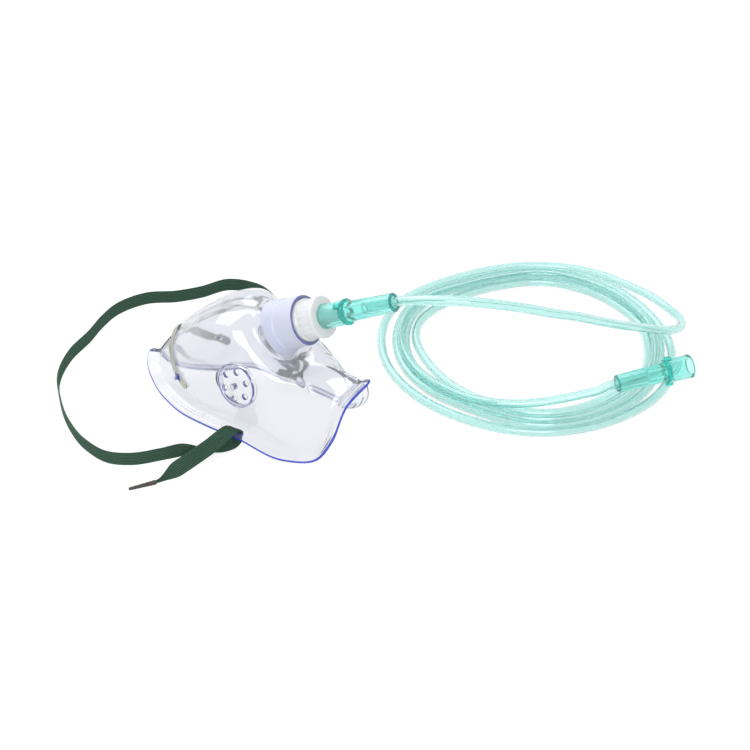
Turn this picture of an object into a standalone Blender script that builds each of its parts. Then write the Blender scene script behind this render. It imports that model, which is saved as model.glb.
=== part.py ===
"""Oxygen face mask with its supply tube and head strap.

A clear soft mask lies rim down, nose to -X and chin to +X, with its port pointing up and towards +X.
A push-fit adapter fills the port, a funnel connector sits on the adapter's nipple, and about 2.4 m of
narrow tube run from it to a flat coil that carries the second funnel. An elastic strap passes through
the slots in the mask's flange. Sizes are in metres. Run it in Blender 4.5 to get the model.
"""

import math

import bmesh
import bpy
import numpy as np
from mathutils import Matrix, Vector

MM = 0.001
CLEARANCE = 0.3 * MM

# The datum of every measure below is under the middle of the mask. The finished model is moved along X
# by this much, which puts the world's origin under the middle of the mask with its connectors.
DATUM_TO_ORIGIN = -10.75 * MM

# Mask shell
SHELL_WALL = 1.5 * MM
FLANGE_WIDTH = 6.4 * MM
FLANGE_BEAD = 0.55 * MM
COLUMNS = 64
FLANGE_ROWS = 6
WALL_ROWS = 12
NECK_ROWS = 4

# Sections of the wall from nose to chin over one half, in millimetres: rim point (x, half width, z),
# angle round the neck in degrees, pull of the curve as it leaves the flange, pull as it meets the neck,
# and the rise of the flange from its edge to the wall. Each pull is (x, outwards, z).
SECTIONS = [
    ((-61.6, 0.0, 19.6), 0, (17, 0, 25), (-27, 0, 2), 2.2),
    ((-59.5, 6.0, 16.0), 12, (14, 4, 21), (-26, 8, 5), 2.2),
    ((-51.6, 12.1, 7.8), 30, (8, 7, 22), (-24, 14, 9), 2.2),
    ((-37.2, 19.3, 4.4), 50, (3, 10, 22), (-20, 20, 11), 2.2),
    ((-13.2, 28.2, 7.0), 70, (1, 5, 31), (-11, 17, 4), 2.2),
    ((6.8, 29.0, 5.5), 92, (0, 5, 28), (-3, 14, -1), 2.2),
    ((34.7, 29.6, 1.3), 125, (-6, 3, 27), (8, 13, 0), 2.2),
    ((49.4, 24.6, 3.0), 145, (-10, 2, 30), (14, 11, 3), 2.0),
    ((56.2, 21.0, 13.5), 158, (-12, 2, 20), (17, 9, 3), 1.0),
    ((61.2, 10.8, 32.5), 170, (-13, 3, 9), (17, 5, 2), -0.5),
    ((67.3, 0.0, 41.0), 180, (-13, 0, 5), (16, 0, 1), -1.5),
]

# Neck: an ellipse on the dome from which the port rises
NECK_CENTRE = Vector((16.6, 0.0, 55.8)) * MM
NECK_UP = Vector((-0.61, 0.0, 0.79)).normalized()
NECK_SEMI_UP = 16.1 * MM
NECK_SEMI_ACROSS = 13.4 * MM

# Port: a thick cuff of the usual 22 mm size
PORT_MOUTH = Vector((34.2, 0.0, 67.8)) * MM
PORT_TILT = math.radians(27.5)
PORT_OUTER_R = 12.5 * MM
PORT_CUFF = 12.0 * MM
PORT_SHOULDER = 0.5 * MM
PORT_COLLAR = 1.0 * MM

# Vent pads, one on each cheek
PAD_CENTRE = Vector((6.7, 25.2, 35.8)) * MM
PAD_NORMAL = Vector((-0.18, 0.965, 0.18)).normalized()
PAD_R = 11.7 * MM
PAD_RISE = 1.0 * MM
PAD_DEPTH = 3.0 * MM
VENT_HOLES = 6
VENT_HOLE_R = 1.45 * MM
VENT_PITCH_R = 7.4 * MM
VENT_PEG_R = 1.6 * MM
VENT_PEG_HEIGHT = 2.4 * MM

# Strap slots in the flange
SLOT_AT = 0.456
SLOT_FROM_EDGE = 3.1 * MM
SLOT_LENGTH = 9.2 * MM
SLOT_WIDTH = 2.0 * MM

# Nose clip: places along one arm on the wall, as (fraction round the rim, fraction up the wall)
CLIP_PATH = [
    (0.0, 0.245), (0.045, 0.262), (0.085, 0.272), (0.125, 0.268),
    (0.165, 0.25), (0.2, 0.23), (0.225, 0.21), (0.252, 0.178),
]
# Places round the quarter turn of the strip's rounded tip
CLIP_TIP_TURNS = np.radians((25, 45, 62, 78))
CLIP_WIDTH = 5.2 * MM
CLIP_THICKNESS = 0.8 * MM
CLIP_SLOT_LENGTH = 5.6 * MM
CLIP_SLOT_WIDTH = 2.0 * MM
CLIP_PEG_FROM_TIP = 7.5 * MM
CLIP_ROWS = 15
PEG_STEM_LENGTH = 3.0 * MM
PEG_STEM_WIDTH = 1.2 * MM
PEG_BAR_LENGTH = 5.4 * MM
PEG_BAR_WIDTH = 1.4 * MM
PEG_BAR_HEIGHT = 1.1 * MM

# Port adapter, measured outwards from the port's mouth
ADAPTER_INSERT = 8.0 * MM
ADAPTER_LIP = 1.2 * MM
ADAPTER_BODY_R = 9.9 * MM
ADAPTER_BODY_END = 8.5 * MM
ADAPTER_COLLAR_R = 10.5 * MM
ADAPTER_END = 11.0 * MM
ADAPTER_WALL = 2.2 * MM
ADAPTER_ROOF = 1.5 * MM
NIPPLE_R = 3.3 * MM
NIPPLE_LENGTH = 11.0 * MM
NIPPLE_BORE_R = 1.5 * MM

# Funnel connectors
FUNNEL_LENGTH = 41.7 * MM
FUNNEL_CUP_LENGTH = 13.0 * MM
FUNNEL_CUP_R = 6.2 * MM
FUNNEL_FLARE_R = 6.45 * MM
FUNNEL_RING_R = 6.6 * MM
FUNNEL_RING_WIDTH = 1.5 * MM
FUNNEL_BARREL_R = 5.1 * MM
FUNNEL_TIP_R = 4.6 * MM
FUNNEL_MOUTH_BORE_R = 4.4 * MM
FUNNEL_THROAT_R = 2.0 * MM
TUBE_PUSHED_IN = 17.0 * MM
WING_REACH = 8.0 * MM
WING_THICKNESS = 3.0 * MM
WING_START = 10.5 * MM
WING_LENGTH = 4.0 * MM
MASK_WING_TURN = math.radians(34.0)
SOURCE_WING_TURN = math.radians(20.0)
SOURCE_NARROW_END = Vector((171.2, 85.2, 16.0)) * MM
SOURCE_MOUTH = Vector((200.3, 112.7, 18.0)) * MM

# Oxygen tube
TUBE_R = 2.4 * MM
TUBE_STEP = 11.0 * MM
COIL_CENTRE = Vector((108.4, 115.05, 0.0)) * MM
COIL_INNER_R = 53.5 * MM
COIL_OUTER_R = 82.5 * MM
COIL_EDGE_HEIGHT = 4.8 * MM
COIL_HEIGHT = 9.6 * MM
COIL_SLOPE = 7.0 * MM
# Route of the free tube from the mask's funnel to the coil, in millimetres
LEAD_ROUTE = [
    (89.9, -0.6, 96.2), (99.0, 0.0, 98.6), (108.2, 2.5, 99.6), (119.0, 7.8, 98.6), (128.1, 15.0, 95.5),
    (137.8, 24.6, 90.4), (145.9, 35.7, 83.5), (154.6, 52.3, 73.5), (161.2, 69.7, 61.8), (167.8, 88.5, 49.5),
    (172.7, 106.8, 38.0), (178.8, 126.5, 26.0), (183.2, 142.8, 17.0), (183.5, 157.6, 10.8),
    (178.6, 170.3, 6.6), (171.1, 179.2, 4.0), (159.7, 188.2, 2.7), (149.2, 192.7, 2.5), (138.0, 195.9, 2.5),
    (127.0, 198.2, 2.5),
]
# Route from the top of the coil to the supply funnel
TAIL_ROUTE = [(139.0, 64.4, 12.1), (146.5, 67.7, 12.1), (154.7, 73.2, 12.3), (162.9, 78.7, 13.6)]

# Head strap: places of its middle line and the direction of its width, in millimetres, from the near tail
# through the near slot, round the loop and through the far slot to the far tail
STRAP_WIDTH = 8.0 * MM
STRAP_THICKNESS = 0.8 * MM
STRAP_TIP_WIDTH = 1.8 * MM
# Longest stretch between two sections of the band, the stretch its curve is sampled at, and the
# turning after which a new section is made all the same
STRAP_STEP = 7.0 * MM
STRAP_SAMPLE = STRAP_STEP / 3
STRAP_TURN_LIMIT = 0.28
STRAP_ROUTE = [
    (-13.4, -72.0, 1.7, (0.65, -0.27, -0.71)), (-12.0, -70.4, 2.2, (0.65, -0.27, -0.71)),
    (-10.2, -67.4, 3.1, (0.65, -0.27, -0.71)), (-8.2, -62.2, 3.8, (0.65, -0.27, -0.71)),
    (-5.1, -53.1, 4.5, (0.65, -0.27, -0.71)), (-2.9, -47.0, 5.2, (0.68, -0.26, -0.68)),
    (-0.3, -41.0, 6.5, (0.8, -0.25, -0.55)), (2.0, -35.4, 8.4, (0.92, -0.15, -0.3)),
    (3.9, -30.8, 9.8, (1, -0.05, -0.1)), (4.9, -27.8, 9.6, (1, 0, 0)),
    (5.1, -25.9, 7.6, (1, 0, 0)), (5.1, -25.9, 5.4, (1, 0, 0)), (5.1, -26.1, 3.4, (1, 0, 0)),
    (5.0, -27.4, 1.7, (1, 0, 0)), (4.6, -30.0, 1.1, (1, 0, 0)), (2.0, -34.6, 1.1, (0.96, -0.25, 0)),
    (-2.4, -39.2, 1.8, (0.8, -0.55, 0.25)), (-7.6, -43.2, 3.7, (0.45, -0.5, 0.75)),
    (-13.2, -48.2, 4.3, (0, 0, 1)),
    (-20.3, -55.4, 4.4, (0, 0, 1)), (-31.9, -65.3, 4.4, (0, 0, 1)), (-42.9, -69.3, 4.4, (0, 0, 1)),
    (-58.8, -66.2, 4.4, (0, 0, 1)), (-76.4, -56.0, 4.4, (0, 0, 1)), (-93.3, -40.1, 4.4, (0, 0, 1)),
    (-102.7, -28.3, 4.4, (0, 0, 1)), (-110.5, -6.1, 4.4, (0, 0, 1)), (-111.2, 13.6, 4.4, (0, 0, 1)),
    (-112.8, 27.0, 4.4, (0, 0, 1)), (-112.2, 42.0, 4.4, (0, 0, 1)), (-103.2, 58.5, 4.4, (0, 0, 1)),
    (-88.4, 68.0, 4.4, (0, 0, 1)), (-78.4, 77.6, 4.4, (0, 0, 1)), (-68.1, 91.3, 4.4, (0, 0, 1)),
    (-48.2, 94.2, 4.4, (0, 0, 1)), (-32.9, 86.2, 4.5, (0, 0, 1)), (-15.0, 65.0, 5.5, (0, 0, 1)),
    (-2.0, 49.0, 7.0, (0.1, 0, 1)), (3.0, 41.0, 9.0, (0.5, 0.1, 0.85)), (5.0, 35.6, 10.0, (0.9, 0.1, 0.4)),
    (5.1, 31.2, 10.3, (1, 0, 0)), (5.1, 27.8, 9.6, (1, 0, 0)), (5.1, 25.9, 7.6, (1, 0, 0)),
    (5.1, 25.9, 5.4, (1, 0, 0)), (5.1, 26.1, 3.4, (1, 0, 0)), (5.0, 27.4, 1.7, (1, 0, 0)),
    (4.9, 30.0, 1.1, (1, 0, 0)), (5.0, 34.0, 1.1, (1, 0, 0)), (5.1, 38.6, 1.1, (1, 0, 0)),
    (5.3, 43.6, 1.2, (1, 0, 0)), (5.4, 46.6, 1.6, (1, 0, 0)),
]
AGLET_R = 1.25 * MM
AGLET_TIP_R = 0.8 * MM
AGLET_LENGTH = 14.0 * MM

MATERIALS = {
    "shell": ((0.83, 0.84, 0.88), 0.0, 0.25),
    "clip": ((0.60, 0.60, 0.57), 1.0, 0.35),
    "adapter": ((0.85, 0.88, 0.90), 0.0, 0.3),
    "funnel": ((0.12, 0.62, 0.55), 0.0, 0.25),
    "tube": ((0.30, 0.72, 0.66), 0.0, 0.25),
    "strap": ((0.02, 0.06, 0.04), 0.0, 0.85),
    "aglet": ((0.05, 0.05, 0.03), 0.0, 0.4),
}


def clear_scene():
    """Remove what a new file starts with."""
    for obj in list(bpy.data.objects):
        bpy.data.objects.remove(obj, do_unlink=True)


def new_collection(name):
    """Add a collection to the scene."""
    collection = bpy.data.collections.new(name)
    bpy.context.scene.collection.children.link(collection)
    return collection


def make_material(name):
    """A Principled material from the table of colours, metallic values and roughness."""
    colour, metallic, roughness = MATERIALS[name]
    material = bpy.data.materials.new(name)
    material.use_nodes = True
    shader = material.node_tree.nodes["Principled BSDF"]
    shader.inputs["Base Color"].default_value = (*colour, 1.0)
    shader.inputs["Metallic"].default_value = metallic
    shader.inputs["Roughness"].default_value = roughness
    return material


def add_object(name, mesh, collection, parent, material=None, matrix=None):
    """Link a mesh as an object under the datum, with its material and place."""
    obj = bpy.data.objects.new(name, mesh)
    collection.objects.link(obj)
    obj.parent = parent
    if matrix is not None:
        obj.matrix_local = matrix
    if material is not None:
        mesh.materials.append(material)
    return obj


def add_cutter(name, mesh, collection, parent):
    """Link a mesh that only shapes other objects."""
    obj = add_object(name, mesh, collection, parent)
    obj.hide_render = True
    obj.display_type = "WIRE"
    return obj


def boolean(obj, operand, operation):
    """Join or cut an object with another one."""
    modifier = obj.modifiers.new(operation.lower() + "_" + operand.name, "BOOLEAN")
    modifier.operation = operation
    modifier.object = operand
    modifier.solver = "EXACT"


def mesh_from(name, vertices, faces):
    """A mesh from numpy points and faces."""
    mesh = bpy.data.meshes.new(name)
    mesh.from_pydata([tuple(float(c) for c in v) for v in vertices], [], faces)
    mesh.update()
    return mesh


def shade_smooth(obj, angle=math.radians(35)):
    """Smooth shading with sharp edges kept."""
    obj.data.shade_smooth()
    obj.data.set_sharp_from_angle(angle=angle)


def frame_matrix(origin, z_axis, x_hint):
    """Placement with local Z along z_axis and local X as near as possible to x_hint."""
    z = z_axis.normalized()
    x = (x_hint - x_hint.dot(z) * z).normalized()
    y = z.cross(x)
    matrix = Matrix((x, y, z)).transposed().to_4x4()
    matrix.translation = origin
    return matrix


def hermite(stations, values, t, mirror):
    """Smooth curve through values at uneven stations, continued past both ends by its mirror image.

    mirror is 1 for a value that is even about the ends and -1 for one that is odd.
    """
    stations = np.asarray(stations, float)
    values = np.asarray(values, float)
    ts = np.r_[2 * stations[0] - stations[1], stations, 2 * stations[-1] - stations[-2]]
    vs = np.r_[mirror * values[1], values, mirror * values[-2]]
    before = np.diff(ts)[:-1]
    after = np.diff(ts)[1:]
    slopes = ((vs[1:-1] - vs[:-2]) / before * after + (vs[2:] - vs[1:-1]) / after * before) / (before + after)
    k = np.clip(np.searchsorted(stations, t, side="right") - 1, 0, len(stations) - 2)
    h = stations[k + 1] - stations[k]
    s = (t - stations[k]) / h
    start = (2 * s**3 - 3 * s**2 + 1) * values[k] + (s**3 - 2 * s**2 + s) * h * slopes[k]
    end = (3 * s**2 - 2 * s**3) * values[k + 1] + (s**3 - s**2) * h * slopes[k + 1]
    return start + end


def smooth_path(points, step):
    """Evenly spaced points on a smooth curve through the given ones."""
    points = np.asarray(points, float)
    run = np.r_[0.0, np.cumsum(np.linalg.norm(np.diff(points, axis=0), axis=1))]
    ends = np.stack([2 * points[0] - points[1], 2 * points[-1] - points[-2]])
    padded = np.vstack([ends[:1], points, ends[1:]])
    knots = np.r_[run[0] - run[1], run, 2 * run[-1] - run[-2]]
    before = np.diff(knots)[:-1, None]
    after = np.diff(knots)[1:, None]
    chord_in = (padded[1:-1] - padded[:-2]) / before
    chord_out = (padded[2:] - padded[1:-1]) / after
    slopes = (chord_in * after + chord_out * before) / (before + after)
    at = np.linspace(0, run[-1], max(2, int(round(run[-1] / step)) + 1))
    k = np.clip(np.searchsorted(run, at, side="right") - 1, 0, len(run) - 2)
    h = (run[k + 1] - run[k])[:, None]
    s = (at[:, None] - run[k][:, None]) / h
    start = (2 * s**3 - 3 * s**2 + 1) * points[k] + (s**3 - 2 * s**2 + s) * h * slopes[k]
    end = (3 * s**2 - 2 * s**3) * points[k + 1] + (s**3 - s**2) * h * slopes[k + 1]
    return start + end


class MaskSurface:
    """Outer surface of one half of the mask, y positive: t runs from nose to chin, v up the wall."""

    def __init__(self):
        rims = np.array([section[0] for section in SECTIONS]) * MM
        chords = np.linalg.norm(np.diff(rims, axis=0), axis=1)
        self.stations = np.r_[0.0, np.cumsum(chords)] / chords.sum()
        self.rims = rims
        self.angles = np.radians([section[1] for section in SECTIONS])
        self.leave = np.array([section[2] for section in SECTIONS]) * MM
        self.meet = np.array([section[3] for section in SECTIONS]) * MM
        self.rises = np.array([section[4] for section in SECTIONS]) * MM

    def along(self, columns, t):
        """Three columns of a driving table read at t; the middle one is the outward coordinate."""
        mirrors = (1, -1, 1)
        return np.stack([hermite(self.stations, columns[:, i], t, mirrors[i]) for i in range(3)], axis=-1)

    def outward(self, t):
        """Unit normal of the rim's plan, pointing out of the mask."""
        step = 1e-4
        ahead = self.along(self.rims, np.clip(t + step, 0, 1))
        behind = self.along(self.rims, np.clip(t - step, 0, 1))
        run = ahead - behind
        out = np.stack([-run[..., 1], run[..., 0], 0 * t], axis=-1)
        out /= np.linalg.norm(out, axis=-1, keepdims=True)
        out[t < step] = (-1, 0, 0)
        out[t > 1 - step] = (1, 0, 0)
        return out

    def flange(self, t, f):
        """Point on the flange, f from its edge to the wall, with two low beads round it."""
        rise = hermite(self.stations, self.rises, t, 1) * f + FLANGE_BEAD * math.sin(2 * math.pi * f) ** 2
        point = self.along(self.rims, t) - FLANGE_WIDTH * f * self.outward(t)
        point[..., 2] += rise
        return point

    def neck(self, t):
        """Point on the neck's ellipse that belongs to t, and its angle round the port."""
        angle = np.interp(t, self.stations, self.angles)[..., None]
        up = NECK_SEMI_UP * np.cos(angle) * np.array(NECK_UP)
        across = NECK_SEMI_ACROSS * np.sin(angle) * np.array((0, 1, 0))
        return np.array(NECK_CENTRE) + up + across, angle

    def wall(self, t, v):
        """Point on the wall: a cubic curve from the flange's root to the neck's ellipse."""
        root = self.flange(t, 1.0)
        top, _ = self.neck(t)
        lower = root + self.along(self.leave, t)
        upper = top + self.along(self.meet, t)
        v = np.asarray(v)[..., None]
        return (1 - v)**3 * root + 3 * (1 - v)**2 * v * lower + 3 * (1 - v) * v**2 * upper + v**3 * top

    def wall_point(self, t, v):
        """One point of the wall as a vector."""
        return Vector(self.wall(np.array([t]), np.array([v]))[0])

    def place(self, t, v):
        """Point, outward normal and the two tangents of the wall as vectors."""
        step = 1e-4
        point = self.wall_point(t, v)
        if t < step:
            along_rim = Vector((0, 1, 0)) * ((self.wall_point(step, v) - point).length / step)
        else:
            along_rim = (self.wall_point(t + step, v) - self.wall_point(t - step, v)) / (2 * step)
        up_wall = (self.wall_point(t, v + step) - self.wall_point(t, v - step)) / (2 * step)
        normal = up_wall.cross(along_rim).normalized()
        return point, normal, along_rim, up_wall


SURFACE = MaskSurface()
PORT_AXIS = Vector((math.cos(PORT_TILT), 0.0, math.sin(PORT_TILT)))
PORT_UP = Vector((-math.sin(PORT_TILT), 0.0, math.cos(PORT_TILT)))


def port_ring(angle, along, radius):
    """Points of a circle round the port's axis at a distance from the mouth."""
    centre = np.array(PORT_MOUTH) + along * np.array(PORT_AXIS)
    return centre + radius * (np.cos(angle) * np.array(PORT_UP) + np.sin(angle) * np.array((0, 1, 0)))


def shell_rows():
    """Rows of points over one half of the shell from the flange's edge to the port's mouth."""
    t = np.linspace(0, 1, COLUMNS // 2 + 1)
    rows = [SURFACE.flange(t, f) for f in np.linspace(0, 1, FLANGE_ROWS + 1)]
    rows += [SURFACE.wall(t, np.full_like(t, v)) for v in np.linspace(0, 1, WALL_ROWS + 1)[1:]]
    base, angle = SURFACE.neck(t)
    shoulder_r = PORT_OUTER_R + PORT_SHOULDER
    top = port_ring(angle, -PORT_CUFF - PORT_COLLAR, shoulder_r)
    rows += [base * (1 - w) + top * w for w in np.linspace(0, 1, NECK_ROWS)[1:]]
    rows.append(port_ring(angle, -PORT_CUFF, shoulder_r))
    rows.append(port_ring(angle, -PORT_CUFF + PORT_SHOULDER, PORT_OUTER_R))
    rows += [port_ring(angle, s, PORT_OUTER_R) for s in (-PORT_CUFF / 2, 0.0)]
    return np.array(rows)


def shell_skin():
    """Closed loops of points all round the mask, joined into an open skin."""
    half = shell_rows()
    other = half[:, -2:0:-1] * np.array((1, -1, 1))
    grid = np.concatenate([half, other], axis=1)
    rows, columns = grid.shape[:2]
    faces = []
    for i in range(rows - 1):
        for j in range(columns):
            k = (j + 1) % columns
            faces.append((i * columns + j, (i + 1) * columns + j, (i + 1) * columns + k, i * columns + k))
    return mesh_from("mask_shell", grid.reshape(-1, 3), faces)


def box_mesh(bm, size, matrix):
    """Add a box of the given size to a bmesh at a placement."""
    scale = Matrix.Diagonal((*size, 1.0))
    bmesh.ops.create_cube(bm, size=1.0, matrix=matrix @ scale)


def cylinder_mesh(bm, radius, low, high, matrix, segments=32, top_radius=None):
    """Add a cylinder or cone between two heights of a placement."""
    top = radius if top_radius is None else top_radius
    middle = matrix @ Matrix.Translation((0, 0, (low + high) / 2))
    bmesh.ops.create_cone(bm, cap_ends=True, segments=segments, radius1=radius, radius2=top, depth=high - low,
                          matrix=middle)


def finish_bmesh(bm, name):
    """Turn a bmesh into a mesh."""
    mesh = bpy.data.meshes.new(name)
    bmesh.ops.recalc_face_normals(bm, faces=bm.faces)
    bm.to_mesh(mesh)
    bm.free()
    return mesh


def pad_frame(side):
    """Placement of a vent pad: local Z points out of the cheek."""
    centre = Vector((PAD_CENTRE.x, side * PAD_CENTRE.y, PAD_CENTRE.z))
    normal = Vector((PAD_NORMAL.x, side * PAD_NORMAL.y, PAD_NORMAL.z))
    return frame_matrix(centre, normal, Vector((0, 0, 1)))


def slot_frame(side):
    """Placement of a strap slot: local X runs along the rim and local Z points up."""
    at = np.array([SLOT_AT])
    point = SURFACE.flange(at, SLOT_FROM_EDGE / FLANGE_WIDTH)[0]
    out = SURFACE.outward(at)[0]
    centre = Vector((point[0], side * point[1], point[2]))
    outward = Vector((out[0], side * out[1], 0.0))
    return frame_matrix(centre, Vector((0, 0, 1)), outward.cross(Vector((0, 0, side))))


def clip_stations():
    """Stations along one arm of the clip, from the bend to the tip, with the distance to each."""
    arm = np.array(CLIP_PATH)
    both_arms = np.vstack([arm[:0:-1] * (-1, 1), arm])
    fine = smooth_path(both_arms, arm[-1, 0] / 60)
    half = np.vstack([arm[:1], fine[fine[:, 0] > 1e-6]])
    places = [SURFACE.place(t, v) for t, v in half]
    steps = [(after[0] - before[0]).length for before, after in zip(places[:-1], places[1:])]
    return half[:, 0], half[:, 1], places, np.r_[0.0, np.cumsum(steps)]


def on_wall_beside(t, v, place, across):
    """Point and normal of the wall a small vector across from a place on it."""
    point, normal, along_rim, up_wall = place
    flat = across - across.dot(normal) * normal
    a = along_rim.dot(along_rim)
    b = along_rim.dot(up_wall)
    c = up_wall.dot(up_wall)
    p = flat.dot(along_rim)
    q = flat.dot(up_wall)
    det = a * c - b * b
    dt = (p * c - q * b) / det
    dv = (q * a - p * b) / det
    t_new = t + dt
    mirrored = t_new < 0
    beside, beside_normal, _, _ = SURFACE.place(abs(t_new), v + dv)
    if mirrored:
        beside.y = -beside.y
        beside_normal.y = -beside_normal.y
    return beside, beside_normal


def clip_arm_rows(lift):
    """Rows of five points across the clip from its bend to its rounded tip, over the wall by lift."""
    t, v, places, distance = clip_stations()
    half = CLIP_WIDTH / 2
    straight = distance[-1] - half
    stops = [(at, half) for at in np.linspace(0, straight, CLIP_ROWS)]
    stops += [(straight + half * math.sin(a), half * math.cos(a)) for a in CLIP_TIP_TURNS]
    rows = []
    for at, reach in stops:
        t_here = float(np.interp(at, distance, t))
        v_here = float(np.interp(at, distance, v))
        place = SURFACE.place(t_here, v_here)
        k = min(int(np.searchsorted(distance, at)), len(places) - 2)
        run = (places[k + 1][0] - places[k][0]).normalized() if at > 0 else Vector((0, 1, 0))
        side = place[1].cross(run).normalized()
        row = []
        for share in (-1.0, -0.5, 0.0, 0.5, 1.0):
            beside, normal = on_wall_beside(t_here, v_here, place, side * reach * share)
            row.append(beside + normal * lift)
        rows.append(row)
    return rows


def clip_peg_frames():
    """Placements of the two pegs that hold the clip: local X along the strip, Z off the wall."""
    t, v, places, distance = clip_stations()
    at = distance[-1] - CLIP_PEG_FROM_TIP
    k = int(np.searchsorted(distance, at))
    point, normal, _, _ = places[k]
    run = (places[k + 1][0] - places[k - 1][0]).normalized()
    frames = []
    for side in (-1, 1):
        flip = Vector((1, side, 1))
        frames.append(frame_matrix(point * flip, normal * flip, run * flip))
    return frames


def build_mask_shell(parts, cutters, datum, material):
    """The one-piece moulding: flange, dome, neck and cuff, with pads, pegs, vent holes and slots."""
    shell = add_object("mask_shell", shell_skin(), parts, datum, material)
    solidify = shell.modifiers.new("wall", "SOLIDIFY")
    solidify.thickness = SHELL_WALL
    solidify.offset = -1.0
    solidify.use_rim = True

    pads = bmesh.new()
    pegs = bmesh.new()
    bars = bmesh.new()
    holes = bmesh.new()
    slots = bmesh.new()
    for side in (-1, 1):
        frame = pad_frame(side)
        cylinder_mesh(pads, PAD_R, -PAD_DEPTH, PAD_RISE, frame, segments=48)
        peg_base = PAD_RISE - PAD_DEPTH / 2
        cylinder_mesh(pegs, VENT_PEG_R, peg_base, PAD_RISE + VENT_PEG_HEIGHT, frame, segments=16)
        for i in range(VENT_HOLES):
            turn = Matrix.Rotation(2 * math.pi * i / VENT_HOLES, 4, "Z")
            place = frame @ turn @ Matrix.Translation((VENT_PITCH_R, 0, 0))
            cylinder_mesh(holes, VENT_HOLE_R, -4 * PAD_DEPTH, 2 * PAD_RISE, place, segments=16)
        frame = slot_frame(side)
        box_mesh(slots, (SLOT_LENGTH, SLOT_WIDTH, 6 * SHELL_WALL), frame)
    bar_low = CLEARANCE + CLIP_THICKNESS + CLEARANCE
    stem_high = bar_low + PEG_BAR_HEIGHT / 2
    stem_low = -SHELL_WALL / 2
    for frame in clip_peg_frames():
        middle = frame @ Matrix.Translation((0, 0, (stem_low + stem_high) / 2))
        box_mesh(pegs, (PEG_STEM_LENGTH, PEG_STEM_WIDTH, stem_high - stem_low), middle)
        middle = frame @ Matrix.Translation((0, 0, bar_low + PEG_BAR_HEIGHT / 2))
        box_mesh(bars, (PEG_BAR_WIDTH, PEG_BAR_LENGTH, PEG_BAR_HEIGHT), middle)

    boolean(shell, add_cutter("vent_pads", finish_bmesh(pads, "vent_pads"), cutters, datum), "UNION")
    boolean(shell, add_cutter("moulded_pegs", finish_bmesh(pegs, "moulded_pegs"), cutters, datum), "UNION")
    boolean(shell, add_cutter("peg_bars", finish_bmesh(bars, "peg_bars"), cutters, datum), "UNION")
    boolean(shell, add_cutter("vent_holes", finish_bmesh(holes, "vent_holes"), cutters, datum), "DIFFERENCE")
    boolean(shell, add_cutter("strap_slots", finish_bmesh(slots, "strap_slots"), cutters, datum),
            "DIFFERENCE")
    shade_smooth(shell)
    return shell


def build_nose_clip(parts, cutters, datum, material):
    """The aluminium strip: a ribbon laid over the nose, thickened, with a slot at each peg."""
    near = clip_arm_rows(CLEARANCE)
    far = [[Vector((p.x, -p.y, p.z)) for p in row] for row in near[1:]]
    rows = [row for row in reversed(far)] + near
    points = [p for row in rows for p in row]
    faces = []
    for i in range(len(rows) - 1):
        for j in range(4):
            a = i * 5 + j
            faces.append((a, a + 5, a + 6, a + 1))
    clip = add_object("nose_clip", mesh_from("nose_clip", points, faces), parts, datum, material)
    solidify = clip.modifiers.new("strip", "SOLIDIFY")
    solidify.thickness = CLIP_THICKNESS
    solidify.offset = 1.0
    slots = bmesh.new()
    for frame in clip_peg_frames():
        box_mesh(slots, (CLIP_SLOT_LENGTH, CLIP_SLOT_WIDTH, 6 * CLIP_THICKNESS), frame)
    boolean(clip, add_cutter("clip_slots", finish_bmesh(slots, "clip_slots"), cutters, datum), "DIFFERENCE")
    shade_smooth(clip)
    return clip


def turned(name, profile, parts, datum, material, matrix, steps=32):
    """A turned piece: a closed profile of (radius, height) carried round the local Z axis."""
    count = len(profile)
    edges = [(i, (i + 1) % count) for i in range(count)]
    mesh = bpy.data.meshes.new(name)
    mesh.from_pydata([(r, 0.0, z) for r, z in profile], edges, [])
    mesh.update()
    obj = add_object(name, mesh, parts, datum, material, matrix)
    screw = obj.modifiers.new("turn", "SCREW")
    screw.axis = "Z"
    screw.steps = steps
    screw.render_steps = steps
    screw.use_merge_vertices = True
    screw.merge_threshold = 0.00001
    screw.use_smooth_shade = False
    return obj


def build_port_adapter(parts, datum, material):
    """The plug in the port: insert, lip, body, collar and nipple, hollow from below."""
    insert_r = PORT_OUTER_R - SHELL_WALL - CLEARANCE
    hollow_r = insert_r - ADAPTER_WALL
    chamfer = 0.4 * MM
    end = ADAPTER_END
    tip = end + NIPPLE_LENGTH
    roof = end - ADAPTER_ROOF
    profile = [
        (NIPPLE_BORE_R, tip), (NIPPLE_R - chamfer, tip), (NIPPLE_R, tip - 2 * chamfer), (NIPPLE_R, end),
        (ADAPTER_COLLAR_R - chamfer, end), (ADAPTER_COLLAR_R, end - chamfer),
        (ADAPTER_COLLAR_R, ADAPTER_BODY_END + chamfer), (ADAPTER_BODY_R, ADAPTER_BODY_END),
        (ADAPTER_BODY_R, ADAPTER_LIP), (insert_r, ADAPTER_LIP), (insert_r, -ADAPTER_INSERT + chamfer),
        (insert_r - chamfer, -ADAPTER_INSERT), (hollow_r, -ADAPTER_INSERT), (hollow_r, roof),
        (NIPPLE_BORE_R, roof),
    ]
    matrix = frame_matrix(PORT_MOUTH, PORT_AXIS, PORT_UP)
    return turned("port_adapter", profile, parts, datum, material, matrix)


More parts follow.
